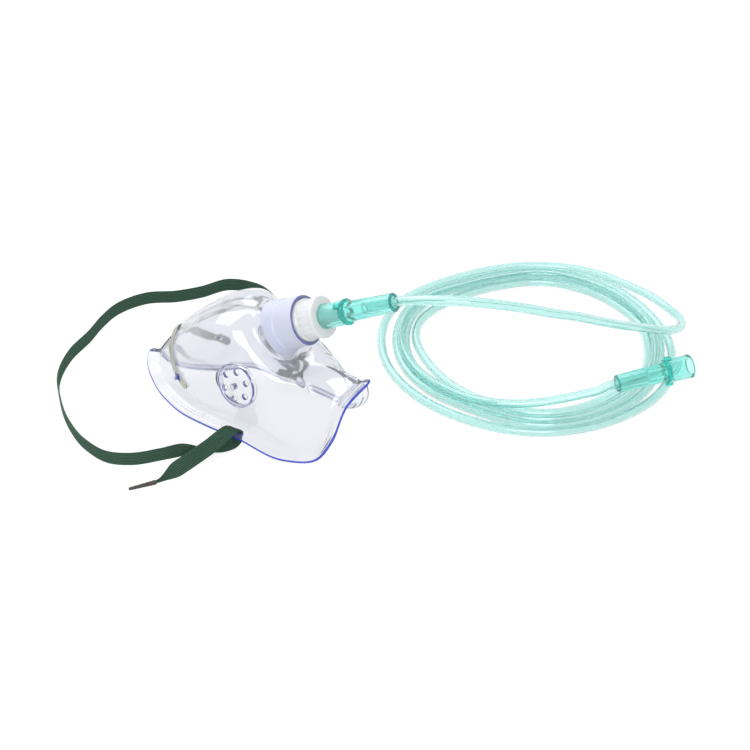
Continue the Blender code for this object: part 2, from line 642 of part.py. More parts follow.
def funnel_profile():
    """Section of a funnel connector, from its mouth at 0 to its narrow end."""
    cup = FUNNEL_CUP_LENGTH
    ring_end = cup + FUNNEL_RING_WIDTH
    socket_r = TUBE_R + CLEARANCE
    socket_start = FUNNEL_LENGTH - TUBE_PUSHED_IN
    edge = 0.5 * MM
    cup_bore_end = cup - 2 * edge
    return [
        (socket_r, FUNNEL_LENGTH), (FUNNEL_TIP_R - edge, FUNNEL_LENGTH), (FUNNEL_TIP_R, FUNNEL_LENGTH - edge),
        (FUNNEL_BARREL_R, ring_end + edge), (FUNNEL_RING_R - edge / 2, ring_end),
        (FUNNEL_RING_R, ring_end - edge / 2),
        (FUNNEL_RING_R, cup + edge / 2), (FUNNEL_CUP_R, cup - edge / 2), (FUNNEL_CUP_R, 4 * edge),
        (FUNNEL_FLARE_R, edge), (FUNNEL_FLARE_R - edge / 2, 0.0), (FUNNEL_MOUTH_BORE_R, 0.0),
        (NIPPLE_R + CLEARANCE, cup_bore_end), (FUNNEL_THROAT_R, cup_bore_end + edge),
        (FUNNEL_THROAT_R, socket_start), (socket_r, socket_start + edge),
    ]


def build_funnel(name, mouth, narrow_end, wing_turn, parts, cutters, datum, material):
    """A funnel connector with its two wings, from its mouth towards its narrow end."""
    matrix = frame_matrix(mouth, narrow_end - mouth, Vector((0, 0, 1)))
    funnel = turned(name, funnel_profile(), parts, datum, material, matrix)
    wings = bmesh.new()
    inner = FUNNEL_BARREL_R
    for turn in (wing_turn, wing_turn + math.pi):
        place = Matrix.Rotation(turn, 4, "Z") @ Matrix.Translation(
            ((inner + WING_REACH) / 2, 0, WING_START + WING_LENGTH / 2))
        box_mesh(wings, (WING_REACH - inner, WING_THICKNESS, WING_LENGTH), place)
    operand = add_cutter(name + "_wings", finish_bmesh(wings, name + "_wings"), cutters, datum)
    operand.matrix_local = matrix
    boolean(funnel, operand, "UNION")
    return funnel


def socket_points(end, axis):
    """Places of the tube's middle line on a funnel's axis, from just outside its end to deep inside."""
    seated = TUBE_PUSHED_IN - 2 * CLEARANCE
    return [tuple(end + axis * along) for along in (2 * TUBE_R, 0.0, -seated / 2, -seated)]


def build_tube(name, points, parts, datum, material):
    """A plain stretch of tube along points."""
    curve = bpy.data.curves.new(name, "CURVE")
    curve.dimensions = "3D"
    spline = curve.splines.new("POLY")
    spline.points.add(len(points) - 1)
    for target, point in zip(spline.points, points):
        target.co = (*point, 1.0)
    curve.bevel_depth = TUBE_R
    curve.bevel_resolution = 2
    curve.use_fill_caps = True
    curve.materials.append(material)
    obj = bpy.data.objects.new(name, curve)
    parts.objects.link(obj)
    obj.parent = datum
    return obj


def build_coil(parts, datum, material):
    """The coiled tube as one ring with sloping shoulders."""
    profile = [
        (COIL_INNER_R + COIL_SLOPE, COIL_HEIGHT), (COIL_OUTER_R - COIL_SLOPE, COIL_HEIGHT),
        (COIL_OUTER_R, COIL_EDGE_HEIGHT), (COIL_OUTER_R, 0.0), (COIL_INNER_R, 0.0),
        (COIL_INNER_R, COIL_EDGE_HEIGHT),
    ]
    return turned("tube_coil", profile, parts, datum, material, Matrix.Translation(COIL_CENTRE), steps=72)


def strap_sections():
    """Middle points, width directions and widths along the strap."""
    centres = np.array([row[:3] for row in STRAP_ROUTE]) * MM
    widths = np.array([row[3] for row in STRAP_ROUTE], float)
    joined = np.hstack([centres, widths * MM])
    fine = smooth_path(joined, STRAP_SAMPLE)
    centre = fine[:, :3]
    run = np.gradient(centre, axis=0)
    run /= np.linalg.norm(run, axis=1, keepdims=True)
    width = fine[:, 3:]
    width -= (width * run).sum(axis=1, keepdims=True) * run
    width /= np.linalg.norm(width, axis=1, keepdims=True)
    return centre, run, width


def build_strap(parts, datum, material):
    """The elastic band as one ribbon, drawn in at both ends to fit its tips."""
    centre, run, width = strap_sections()
    bend = np.linalg.norm(np.gradient(run, axis=0), axis=1)
    bend += np.linalg.norm(np.gradient(width, axis=0), axis=1)
    keep = [0]
    turned_by = 0.0
    for i in range(1, len(centre) - 1):
        turned_by += bend[i]
        far = np.linalg.norm(centre[i] - centre[keep[-1]]) > STRAP_STEP
        if far or turned_by > STRAP_TURN_LIMIT:
            keep.append(i)
            turned_by = 0.0
    keep.append(len(centre) - 1)
    length = np.r_[0.0, np.cumsum(np.linalg.norm(np.diff(centre, axis=0), axis=1))]
    from_end = np.minimum(length, length[-1] - length)
    share = np.clip(from_end / STRAP_WIDTH, 0, 1)
    half_width = (STRAP_TIP_WIDTH + (STRAP_WIDTH - STRAP_TIP_WIDTH) * share) / 2
    half = STRAP_THICKNESS / 2
    points = []
    for i in keep:
        thick = np.cross(run[i], width[i])
        for a, b in ((-1, -1), (1, -1), (1, 1), (-1, 1)):
            points.append(centre[i] + a * half_width[i] * width[i] + b * half * thick)
    faces = [(3, 2, 1, 0)]
    for i in range(len(keep) - 1):
        for j in range(4):
            k = (j + 1) % 4
            faces.append((i * 4 + j, i * 4 + k, i * 4 + 4 + k, i * 4 + 4 + j))
    last = 4 * (len(keep) - 1)
    faces.append((last, last + 1, last + 2, last + 3))
    return add_object("head_strap", mesh_from("head_strap", points, faces), parts, datum, material)


def build_aglet(name, end, before, parts, datum, material):
    """A crimped strap tip, a slim cone that carries on from the strap's end along the table."""
    direction = Vector(end) - Vector(before)
    direction.z = 0.0
    start = Vector(end) + direction.normalized() * CLEARANCE
    start.z = AGLET_R + CLEARANCE
    bm = bmesh.new()
    frame = frame_matrix(start, direction, Vector((0, 0, 1)))
    cylinder_mesh(bm, AGLET_R, 0.0, AGLET_LENGTH, frame, segments=12, top_radius=AGLET_TIP_R)
    aglet = add_object(name, finish_bmesh(bm, name), parts, datum, material)
    shade_smooth(aglet)
    return aglet


def main():
    clear_scene()
    parts = new_collection("oxygen_face_mask")
    cutters = new_collection("cutters")
    datum = bpy.data.objects.new("datum", None)
    datum.location = (DATUM_TO_ORIGIN, 0.0, 0.0)
    parts.objects.link(datum)
    materials = {name: make_material(name) for name in MATERIALS}

    build_mask_shell(parts, cutters, datum, materials["shell"])
    build_nose_clip(parts, cutters, datum, materials["clip"])
    build_port_adapter(parts, datum, materials["adapter"])

    mouth = PORT_MOUTH + PORT_AXIS * (ADAPTER_END + CLEARANCE)
    narrow_end = mouth + PORT_AXIS * FUNNEL_LENGTH
    build_funnel("mask_funnel", mouth, narrow_end, MASK_WING_TURN, parts, cutters, datum, materials["funnel"])
    source_axis = (SOURCE_NARROW_END - SOURCE_MOUTH).normalized()
    source_end = SOURCE_MOUTH + source_axis * FUNNEL_LENGTH
    build_funnel("source_funnel", SOURCE_MOUTH, source_end, SOURCE_WING_TURN, parts, cutters, datum,
                 materials["funnel"])

    lead_start = socket_points(narrow_end, PORT_AXIS)
    lead = smooth_path(lead_start[::-1] + [tuple(c * MM for c in p) for p in LEAD_ROUTE], TUBE_STEP)
    build_tube("tube_lead", lead, parts, datum, materials["tube"])
    build_coil(parts, datum, materials["tube"])
    tail_route = [tuple(c * MM for c in p) for p in TAIL_ROUTE] + socket_points(source_end, source_axis)
    build_tube("tube_tail", smooth_path(tail_route, TUBE_STEP / 2), parts, datum, materials["tube"])

    build_strap(parts, datum, materials["strap"])
    centre, _, _ = strap_sections()
    build_aglet("strap_tip_near", centre[0], centre[1], parts, datum, materials["aglet"])
    build_aglet("strap_tip_far", centre[-1], centre[-2], parts, datum, materials["aglet"])


main()
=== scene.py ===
"""Oxygen face mask on a pale table: clear soft shell, nose clip, green tube in a loose coil, elastic strap.

Every place is in metres in the model's own frame, with Z up and the table at zero. Places typed in
millimetres are measured from a datum under the middle of the mask, and DATUM moves them into that frame.
"""

import math

import bmesh
import bpy
import numpy as np
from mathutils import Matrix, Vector


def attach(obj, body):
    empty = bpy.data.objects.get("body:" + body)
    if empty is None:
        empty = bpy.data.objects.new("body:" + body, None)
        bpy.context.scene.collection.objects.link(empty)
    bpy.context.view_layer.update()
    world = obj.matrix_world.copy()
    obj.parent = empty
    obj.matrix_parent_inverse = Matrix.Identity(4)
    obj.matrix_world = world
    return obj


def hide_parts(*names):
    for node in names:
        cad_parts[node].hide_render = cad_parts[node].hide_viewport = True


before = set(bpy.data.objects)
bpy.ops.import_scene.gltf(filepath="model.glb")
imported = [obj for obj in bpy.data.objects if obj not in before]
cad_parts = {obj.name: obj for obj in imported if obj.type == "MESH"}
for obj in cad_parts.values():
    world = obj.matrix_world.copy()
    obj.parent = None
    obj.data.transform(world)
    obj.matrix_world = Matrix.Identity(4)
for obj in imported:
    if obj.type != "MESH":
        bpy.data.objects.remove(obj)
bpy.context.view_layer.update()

MM = 0.001
DATUM = np.array((-10.75, 0.0, 0.0)) * MM
CLEARANCE = 0.3 * MM


def placed(points):
    """Points typed in millimetres from the datum, in metres in the model's frame."""
    return np.asarray(points, float) * MM + DATUM


def linked(name, data):
    """A new object in the scene, at the origin, with the given data."""
    obj = bpy.data.objects.new(name, data)
    bpy.context.scene.collection.objects.link(obj)
    return obj


# Camera

camera_data = bpy.data.cameras.new("camera")
camera_data.lens = 71.0
camera_data.sensor_width = 36.0
camera_data.clip_start = 0.01
camera = linked("camera", camera_data)
camera.location = (0.31145, -0.5194, 0.4826)
look_at = Vector((0.03375, 0.0551, 0.0))
camera.rotation_euler = (look_at - camera.location).to_track_quat("-Z", "Y").to_euler()
bpy.context.scene.camera = camera


# Mesh tools

def unit(vectors):
    """Vectors divided by their own length."""
    return vectors / np.linalg.norm(vectors, axis=-1, keepdims=True)


def basis(z_axis, x_hint):
    """Three unit axes as rows: Z along z_axis, X as near as can be to x_hint, Y square to both."""
    z = unit(np.asarray(z_axis, float))
    x = np.asarray(x_hint, float)
    x = unit(x - (x @ z) * z)
    return np.array((x, np.cross(z, x), z))


def hermite(stations, values, at, before, after):
    """Cubic Hermite curve through rows of values at uneven stations, read at the places at.

    The slope at a station is the mean of the two chord slopes, each weighted by the other chord's
    length. before and after are the values one chord past the first and the last station.
    """
    chords = np.diff(np.r_[2 * stations[0] - stations[1], stations, 2 * stations[-1] - stations[-2]])[:, None]
    rates = np.diff(np.vstack([before, values, after]), axis=0) / chords
    slopes = (rates[:-1] * chords[1:] + rates[1:] * chords[:-1]) / (chords[:-1] + chords[1:])
    k = np.clip(np.searchsorted(stations, at, side="right") - 1, 0, len(stations) - 2)
    h = (stations[k + 1] - stations[k])[..., None]
    s = (at - stations[k])[..., None] / h
    start = (2 * s**3 - 3 * s**2 + 1) * values[k] + (s**3 - 2 * s**2 + s) * h * slopes[k]
    end = (3 * s**2 - 2 * s**3) * values[k + 1] + (s**3 - s**2) * h * slopes[k + 1]
    return start + end


def run_along(points):
    """Distance of each point of a path from its first one, along its chords."""
    return np.r_[0.0, np.cumsum(np.linalg.norm(np.diff(points, axis=0), axis=1))]


def smooth_path(points, step):
    """Evenly spaced points on the Hermite curve through the given ones, by the run of their chords."""
    points = np.asarray(points, float)
    run = run_along(points[:, :3])
    at = np.linspace(0, run[-1], max(2, int(round(run[-1] / step)) + 1))
    return hermite(run, points, at, 2 * points[0] - points[1], 2 * points[-1] - points[-2])


def grid_faces(rows, columns, wrap_rows=False):
    """Four corners of every cell of a grid of closed rings, as indices into its points."""
    i = np.arange(rows if wrap_rows else rows - 1)[:, None]
    j = np.arange(columns)[None, :]
    after_i = (i + 1) % rows
    after_j = (j + 1) % columns
    corners = (i * columns + j, after_i * columns + j, after_i * columns + after_j, i * columns + after_j)
    return np.stack(np.broadcast_arrays(*corners), axis=-1).reshape(-1, 4)


def end_caps(rows, columns):
    """The first and the last ring of a grid as two faces."""
    return [tuple(range(columns)), tuple(range((rows - 1) * columns, rows * columns))[::-1]]


def grid_uv(along, across, wrap_rows=False):
    """UV of every corner of a grid of rings, from the measures along its rows and across its columns.

    across has one value more than there are columns, so that the last column closes without a jump.
    """
    if wrap_rows:
        along = np.r_[along, along[-1]]
    v, u = np.meshgrid(along, across, indexing="ij")
    uv = np.stack((u, v), axis=-1)
    return np.stack((uv[:-1, :-1], uv[1:, :-1], uv[1:, 1:], uv[:-1, 1:]), axis=2).reshape(-1, 2)


def signed_volume(points, faces):
    """Volume of a closed mesh: the sum of its corner determinants over six, negative if it is inside out."""
    a = points[faces[:, 0]]
    total = 0.0
    for k in range(1, faces.shape[1] - 1):
        total += np.einsum("ij,ij->i", a, np.cross(points[faces[:, k]], points[faces[:, k + 1]])).sum()
    return total / 6


def new_piece(name, rows, materials, wrap_rows=False, tags=None, uv=None):
    """A grid of closed rings as an object, faces out: a closed round, or a stretch with both ends filled.

    tags gives the material slot number of the band that follows each ring of a closed round.
    """
    count, columns = rows.shape[:2]
    faces = grid_faces(count, columns, wrap_rows)
    caps = [] if wrap_rows else end_caps(count, columns)
    points = rows.reshape(-1, 3)
    if signed_volume(points - points.mean(axis=0), faces) < 0:
        faces = faces[:, ::-1]
        caps = [cap[::-1] for cap in caps]
        if uv is not None:
            uv = uv.reshape(len(faces), -1, 2)[:, ::-1].reshape(-1, 2)
    mesh = bpy.data.meshes.new(name)
    mesh.from_pydata(points.tolist(), [], faces.tolist() + [list(cap) for cap in caps])
    for material in materials:
        mesh.materials.append(material)
    if tags is not None:
        mesh.polygons.foreach_set("material_index", np.repeat(tags, columns).astype(np.int32))
    if uv is not None:
        values = np.zeros((len(mesh.loops), 2), np.float32)
        values[:len(uv)] = uv
        mesh.uv_layers.new(name="surface").data.foreach_set("uv", values.ravel())
    return linked(name, mesh)


def lathe(profile, origin, axes, steps=96):
    """Rings of a profile of (radius, height) turned about an axis: origin + r cos a X + r sin a Y + z Z."""
    profile = np.asarray(profile, float)
    angle = np.linspace(0, 2 * math.pi, steps, endpoint=False)
    r = profile[:, 0, None, None]
    z = profile[:, 1, None, None]
    ring = np.cos(angle)[None, :, None] * axes[0] + np.sin(angle)[None, :, None] * axes[1]
    return np.asarray(origin) + r * ring + z * axes[2]


def rounded_block(size, origin, axes, softness=0.22, steps=24):
    """Superellipsoid: x = a c(u) c(v), y = b s(u) c(v), z = h s(v).

    c and s are the cosine and the sine to the power softness. v stops a little short of both poles, and
    the two small rings there are filled.
    """
    short = 0.02
    v = np.linspace(-math.pi / 2 + short, math.pi / 2 - short, steps // 2 + 1)[:, None]
    u = np.linspace(0, 2 * math.pi, steps, endpoint=False)[None, :]

    def power(w):
        return np.sign(w) * np.abs(w) ** softness

    x = power(np.cos(u)) * power(np.cos(v)) * size[0] / 2
    y = power(np.sin(u)) * power(np.cos(v)) * size[1] / 2
    z = power(np.sin(v)) * size[2] / 2 + 0 * u
    return np.asarray(origin) + np.stack([x, y, z], axis=-1) @ np.asarray(axes)


def stadium_cutter(length, width, height, origin, axes, steps=32):
    """Upright prism with a slot's plan: a circle of the slot's width, stretched to its length along X."""
    angle = np.linspace(0, 2 * math.pi, steps, endpoint=False)
    x = np.cos(angle) * width / 2
    x = x + np.sign(np.round(np.cos(angle), 6)) * (length - width) / 2
    y = np.sin(angle) * width / 2
    rows = [np.stack([x, y, 0 * x + z], axis=-1) for z in (-height / 2, height / 2)]
    return np.asarray(origin) + np.array(rows) @ np.asarray(axes)


def solid(rows, tags):
    """A grid of closed rings as (points, faces, face tags), both ends filled.

    tags is one material slot number for all, or one for each band between two rings. An end takes the
    tag of the band beside it.
    """
    rows = np.asarray(rows)
    count, columns = rows.shape[:2]
    bands = np.broadcast_to(tags, count - 1)
    faces = grid_faces(count, columns).tolist() + end_caps(count, columns)
    return rows.reshape(-1, 3), faces, np.r_[np.repeat(bands, columns), [bands[0], bands[-1]]]


def joined(name, solids, materials):
    """Several closed solids as one object, each face with the material slot number of its band."""
    bm = bmesh.new()
    for points, faces, tags in solids:
        made = [bm.verts.new(p) for p in points.tolist()]
        for face, tag in zip(faces, tags.tolist()):
            bm.faces.new([made[i] for i in face]).material_index = tag
    bmesh.ops.recalc_face_normals(bm, faces=bm.faces)
    mesh = bpy.data.meshes.new(name)
    bm.to_mesh(mesh)
    bm.free()
    for material in materials:
        mesh.materials.append(material)
    return linked(name, mesh)


def combine(obj, operand, operation):
    """Join or cut obj with the operand for good, and remove the operand."""
    modifier = obj.modifiers.new(operation, "BOOLEAN")
    modifier.operation = operation
    modifier.object = operand
    modifier.solver = "EXACT"
    modifier.material_mode = "INDEX"
    evaluated = obj.evaluated_get(bpy.context.evaluated_depsgraph_get())
    mesh = bpy.data.meshes.new_from_object(evaluated)
    obj.modifiers.clear()
    obj.data = mesh
    bpy.data.objects.remove(operand, do_unlink=True)


def finish_piece(obj, nodes, sharp=35.0):
    """Shade a piece, let it ride on the body, and hide the model's nodes that it stands for."""
    obj.data.shade_smooth()
    obj.data.set_sharp_from_angle(angle=math.radians(sharp))
    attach(obj, "root")
    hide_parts(*nodes)


# Material tools

def linear(code):
    """sRGB hex to linear colour: c / 12.92 up to 0.04045, ((c + 0.055) / 1.055) to the power 2.4 above it."""
    values = [int(code[i:i + 2], 16) / 255 for i in (1, 3, 5)]
    return (*[c / 12.92 if c <= 0.04045 else ((c + 0.055) / 1.055) ** 2.4 for c in values], 1.0)


def add_node(tree, kind, values=(), links=(), **settings):
    """Add a node with its settings, its socket values and the outputs that feed its sockets."""
    made = tree.nodes.new(kind)
    for name, value in settings.items():
        setattr(made, name, value)
    for socket, value in dict(values).items():
        made.inputs[socket].default_value = value
    for socket, source in dict(links).items():
        tree.links.new(source, made.inputs[socket])
    return made


def new_material(name, values):
    """A material with one Principled shader and the given socket values, with its tree and the shader."""
    material = bpy.data.materials.new(name)
    material.use_nodes = True
    shader = material.node_tree.nodes["Principled BSDF"]
    for socket, value in values.items():
        shader.inputs[socket].default_value = value
    return material, material.node_tree, shader


def add_bump(tree, shader, height, strength, distance):
    """Feed a height to the shader as bump, with its full depth in metres."""
    bump = add_node(tree, "ShaderNodeBump", {"Strength": strength, "Distance": distance}, {"Height": height})
    tree.links.new(bump.outputs["Normal"], shader.inputs["Normal"])


def clear_plastic(name, colour, roughness, transmission, depth_colour, density, waviness=0.0):
    """A clear plastic with a little tint at its faces and more through its depth."""
    values = {"Base Color": linear(colour), "Roughness": roughness, "IOR": 1.5,
              "Transmission Weight": transmission}
    material, tree, shader = new_material(name, values)
    depth = {"Color": linear(depth_colour), "Density": density}
    absorb = add_node(tree, "ShaderNodeVolumeAbsorption", depth)
    tree.links.new(absorb.outputs["Volume"], tree.nodes["Material Output"].inputs["Volume"])
    if waviness:
        place = add_node(tree, "ShaderNodeTexCoord").outputs["Object"]
        noise = add_node(tree, "ShaderNodeTexNoise", {"Scale": 60.0, "Detail": 2.0}, {"Vector": place})
        add_bump(tree, shader, noise.outputs["Fac"], waviness, 0.4 * MM)
    return material


# Clear soft PVC, injection moulded in a polished tool: glassy with a faint lilac tint in its depth
CLEAR_PVC = clear_plastic("clear_soft_pvc_polished", "#F7F8FB", 0.06, 0.93, "#C0C5DA", 75.0, 0.05)
# The same PVC where it is cut or ends: the light gathered in the sheet that comes out there is painted into
# its colour as a blue glow
PAINTED_EDGE_GLOW_PVC = clear_plastic("clear_soft_pvc_cut_edge_painted_glow", "#3A50E0", 0.2, 0.4, "#C3C9E2", 60.0)
# The same PVC with a spark-eroded finish on the cuff: frosted, so it scatters a pale lilac
FROSTED_PVC = clear_plastic("clear_soft_pvc_frosted_cuff", "#EAF0FF", 0.35, 0.38, "#B8C4F0", 40.0)
# The same PVC on the cuff's lip, small steps and pegs: a paler blue than at the long edges, the light let out
# there painted into its colour as a glow
PAINTED_SMALL_EDGE_GLOW_PVC = clear_plastic("clear_soft_pvc_small_edge_painted_glow", "#8F9DE8", 0.15, 0.6, "#C3C9E2", 60.0)
SHELL_MATERIALS = [CLEAR_PVC, PAINTED_EDGE_GLOW_PVC, FROSTED_PVC, PAINTED_SMALL_EDGE_GLOW_PVC]
# Natural polypropylene, moulded: milky and half clear
MILKY_PP = clear_plastic("natural_polypropylene_moulded", "#FCFEFF", 0.2, 0.42, "#DCE6F6", 10.0)
# Tinted rigid PVC, moulded: clear green walls
GREEN_PVC = clear_plastic("tinted_green_pvc_moulded", "#E2FFFC", 0.06, 0.93, "#04F2EA", 140.0)
# The same rigid PVC at its ends, ring and wings: the light gathered in the wall that comes out there is
# painted into its colour as a bright green glow
GREEN_PAINTED_GLOW_PVC = clear_plastic("tinted_green_pvc_ends_painted_glow", "#58FAF0", 0.12, 0.75, "#04F2EA", 90.0)
FUNNEL_MATERIALS = [GREEN_PVC, GREEN_PAINTED_GLOW_PVC]
# Tinted soft PVC, extruded as tube: pale green, darker along its sides where the wall is deep
TUBE_PVC = clear_plastic("tinted_green_pvc_extruded", "#EEFCFA", 0.05, 0.95, "#20E4DE", 165.0)


def satin_aluminium():
    """Annealed aluminium strip, rolled: satin grey with fine streaks along the strip."""
    values = {"Base Color": linear("#B9B8B0"), "Metallic": 1.0, "Roughness": 0.34}
    material, tree, shader = new_material("aluminium_strip_rolled", values)
    surface = add_node(tree, "ShaderNodeUVMap", uv_map="surface").outputs["UV"]
    # UVs are in metres. Rolling streaks are about 0.15 mm wide and 12 mm long.
    per_metre = (6600.0, 80.0, 1.0)
    stretched = add_node(tree, "ShaderNodeMapping", {"Scale": per_metre}, {"Vector": surface})
    streaks = add_node(tree, "ShaderNodeTexNoise", {"Scale": 1.0, "Detail": 3.0},
                       {"Vector": stretched.outputs["Vector"]})
    rough = add_node(tree, "ShaderNodeMapRange", {"To Min": 0.26, "To Max": 0.44},
                     {"Value": streaks.outputs["Fac"]})
    tree.links.new(rough.outputs["Result"], shader.inputs["Roughness"])
    add_bump(tree, shader, streaks.outputs["Fac"], 0.15, 0.05 * MM)
    return material


def strap_elastic():
    """Braided elastic: dark green yarn over rubber, ribbed along the band, each plait a slanted stitch, with
    painted shade in the grooves and painted light on the crests.
    """
    values = {"Roughness": 0.82, "Sheen Weight": 0.25, "Sheen Roughness": 0.45,
              "Sheen Tint": linear("#7FB79A")}
    material, tree, shader = new_material("braided_elastic_green", values)
    surface = add_node(tree, "ShaderNodeUVMap", uv_map="surface").outputs["UV"]
    parts = add_node(tree, "ShaderNodeSeparateXYZ", links={"Vector": surface}).outputs
    # UVs are in metres. Ribs are 1 mm apart across the band, and stitches 0.7 mm apart along it.
    rib_turn = 2 * math.pi / (1.0 * MM)
    stitch_turn = 2 * math.pi / (0.7 * MM)
    across = add_node(tree, "ShaderNodeMath", {1: rib_turn}, {0: parts["X"]}, operation="MULTIPLY")
    rib = add_node(tree, "ShaderNodeMath", links={0: across.outputs[0]}, operation="COSINE").outputs[0]
    zigzag = add_node(tree, "ShaderNodeMath", {1: 0.9}, {0: rib}, operation="MULTIPLY").outputs[0]
    along = add_node(tree, "ShaderNodeMath", {1: stitch_turn}, {0: parts["Y"]}, operation="MULTIPLY")
    slanted = add_node(tree, "ShaderNodeMath", links={0: along.outputs[0], 1: zigzag}, operation="ADD")
    stitch = add_node(tree, "ShaderNodeMath", links={0: slanted.outputs[0]}, operation="SINE")
    yarn = add_node(tree, "ShaderNodeMath", {1: 0.35}, {0: stitch.outputs[0]}, operation="MULTIPLY")
    height = add_node(tree, "ShaderNodeMath", links={0: rib, 1: yarn.outputs[0]}, operation="ADD")
    level = add_node(tree, "ShaderNodeMapRange", {"From Min": -1.35, "From Max": 1.35},
                     {"Value": height.outputs[0]}).outputs["Result"]
    # The ramp paints the low parts dark and the crests light: painted shade in the grooves and painted light
    # on the ribs and stitches
    painted_shade_ramp = add_node(tree, "ShaderNodeValToRGB", links={"Fac": level})
    painted_shade_ramp.color_ramp.elements[0].color = linear("#0F221A")
    painted_shade_ramp.color_ramp.elements[1].color = linear("#34604A")
    tree.links.new(painted_shade_ramp.outputs["Color"], shader.inputs["Base Color"])
    add_bump(tree, shader, level, 0.8, 0.3 * MM)
    return material


def tip_plastic():
    """Shrunk film over the strap's end: brown-black, glossy, with shallow crimps along it."""
    values = {"Base Color": linear("#2E2A24"), "Roughness": 0.35}
    material, tree, shader = new_material("strap_tip_film_shrunk", values)
    surface = add_node(tree, "ShaderNodeUVMap", uv_map="surface").outputs["UV"]
    # UVs are in metres. The waves are 3.1 mm apart, over the modelled crimps, which are 1.6 mm apart.
    crimps = add_node(tree, "ShaderNodeTexWave", {"Scale": 100.0, "Distortion": 1.5}, {"Vector": surface},
                      bands_direction="Y")
    add_bump(tree, shader, crimps.outputs["Fac"], 0.4, 0.15 * MM)
    return material


ALUMINIUM = satin_aluminium()
ELASTIC = strap_elastic()
STRAP_TIP = tip_plastic()


# Mask shell

SHELL_WALL = 1.5 * MM
FLANGE_WIDTH = 6.4 * MM
FLANGE_BEAD = 0.55 * MM

# Sections of the wall from nose to chin over one half, in millimetres: rim point (x, half width, z),
# angle round the neck in degrees, pull of the curve as it leaves the flange, pull as it meets the neck,
# and the rise of the flange from its edge to the wall. Each pull is (x, outwards, z).
SECTIONS = [
    ((-61.6, 0.0, 19.6), 0, (17, 0, 25), (-27, 0, 2), 2.2),
    ((-59.5, 6.0, 16.0), 12, (14, 4, 21), (-26, 8, 5), 2.2),
    ((-51.6, 12.1, 7.8), 30, (8, 7, 22), (-24, 14, 9), 2.2),
    ((-37.2, 19.3, 4.4), 50, (3, 10, 22), (-20, 20, 11), 2.2),
    ((-13.2, 28.2, 7.0), 70, (1, 5, 31), (-11, 17, 4), 2.2),
    ((6.8, 29.0, 5.5), 92, (0, 5, 28), (-3, 14, -1), 2.2),
    ((34.7, 29.6, 1.3), 125, (-6, 3, 27), (8, 13, 0), 2.2),
    ((49.4, 24.6, 3.0), 145, (-10, 2, 30), (14, 11, 3), 2.0),
    ((56.2, 21.0, 13.5), 158, (-12, 2, 20), (17, 9, 3), 1.0),
    ((61.2, 10.8, 32.5), 170, (-13, 3, 9), (17, 5, 2), -0.5),
    ((67.3, 0.0, 41.0), 180, (-13, 0, 5), (16, 0, 1), -1.5),
]
RIMS = np.array([section[0] for section in SECTIONS]) * MM
CHORDS = np.linalg.norm(np.diff(RIMS, axis=0), axis=1)
STATIONS = np.r_[0.0, np.cumsum(CHORDS)] / CHORDS.sum()
NECK_ANGLES = np.radians([section[1] for section in SECTIONS])
LEAVE = np.array([section[2] for section in SECTIONS]) * MM
MEET = np.array([section[3] for section in SECTIONS]) * MM
RISES = np.array([section[4:] for section in SECTIONS]) * MM

NECK_CENTRE = np.array((16.6, 0.0, 55.8)) * MM
NECK_UP = unit(np.array((-0.61, 0.0, 0.79)))
NECK_SEMI_UP = 16.1 * MM
NECK_SEMI_ACROSS = 13.4 * MM

PORT_MOUTH = np.array((34.2, 0.0, 67.8)) * MM
PORT_TILT = math.radians(27.5)
PORT_AXIS = np.array((math.cos(PORT_TILT), 0.0, math.sin(PORT_TILT)))
PORT_UP = np.array((-math.sin(PORT_TILT), 0.0, math.cos(PORT_TILT)))
SIDEWAYS = np.array((0.0, 1.0, 0.0))
PORT_OUTER_R = 12.5 * MM
PORT_CUFF = 12.0 * MM
PORT_SHOULDER = 0.5 * MM
PORT_COLLAR = 1.0 * MM

PAD_CENTRE = np.array((6.7, 25.2, 35.8)) * MM
PAD_NORMAL = unit(np.array((-0.18, 0.965, 0.18)))
PAD_R = 11.7 * MM
PAD_RISE = 1.0 * MM
PAD_DEPTH = 3.0 * MM
VENT_HOLES = 6
VENT_HOLE_R = 1.45 * MM
VENT_PITCH_R = 7.4 * MM
VENT_PEG_R = 1.6 * MM
VENT_PEG_HEIGHT = 2.4 * MM

SLOT_AT = 0.456
SLOT_FROM_EDGE = 3.1 * MM
SLOT_LENGTH = 9.2 * MM
SLOT_WIDTH = 2.0 * MM

# Columns from nose to chin, and rows of each stretch from the flange's edge to the port's mouth. The port's
# rows are the two of its collar, the cuff's and the lip's one.
HALF_COLUMNS = 128
FLANGE_ROWS = 17
WALL_ROWS = 60
NECK_ROWS = 9
CUFF_ROWS = 9
PORT_ROWS = CUFF_ROWS + 3
FROSTED_NECK_ROWS = 6
LIP_ROWS = 2
LIP_ROUND = 0.25 * MM
EASED_FROM = 11
EASINGS = 6
# Material slot numbers of the moulding: clear, the cut edges' painted blue glow, frosted, and the paler
# painted glow of small edges
CLEAR, EDGE_GLOW, FROSTED, SMALL_EDGE_GLOW = range(4)


def along_rim(table, t):
    """A driving table of (x, outwards, z) read at t. Past both ends it mirrors, with the second value odd."""
    mirror = np.array((1, -1, 1))
    return hermite(STATIONS, table, t, mirror * table[1], mirror * table[-2])


def rim_outward(t):
    """Unit normal of the rim's plan, from the difference of two points on the rim, pointing out."""
    step = 1e-4
    run = along_rim(RIMS, np.clip(t + step, 0, 1)) - along_rim(RIMS, np.clip(t - step, 0, 1))
    out = unit(np.stack([-run[..., 1], run[..., 0], 0 * t], axis=-1) + 1e-12)
    out[t < step] = (-1, 0, 0)
    out[t > 1 - step] = (1, 0, 0)
    return out


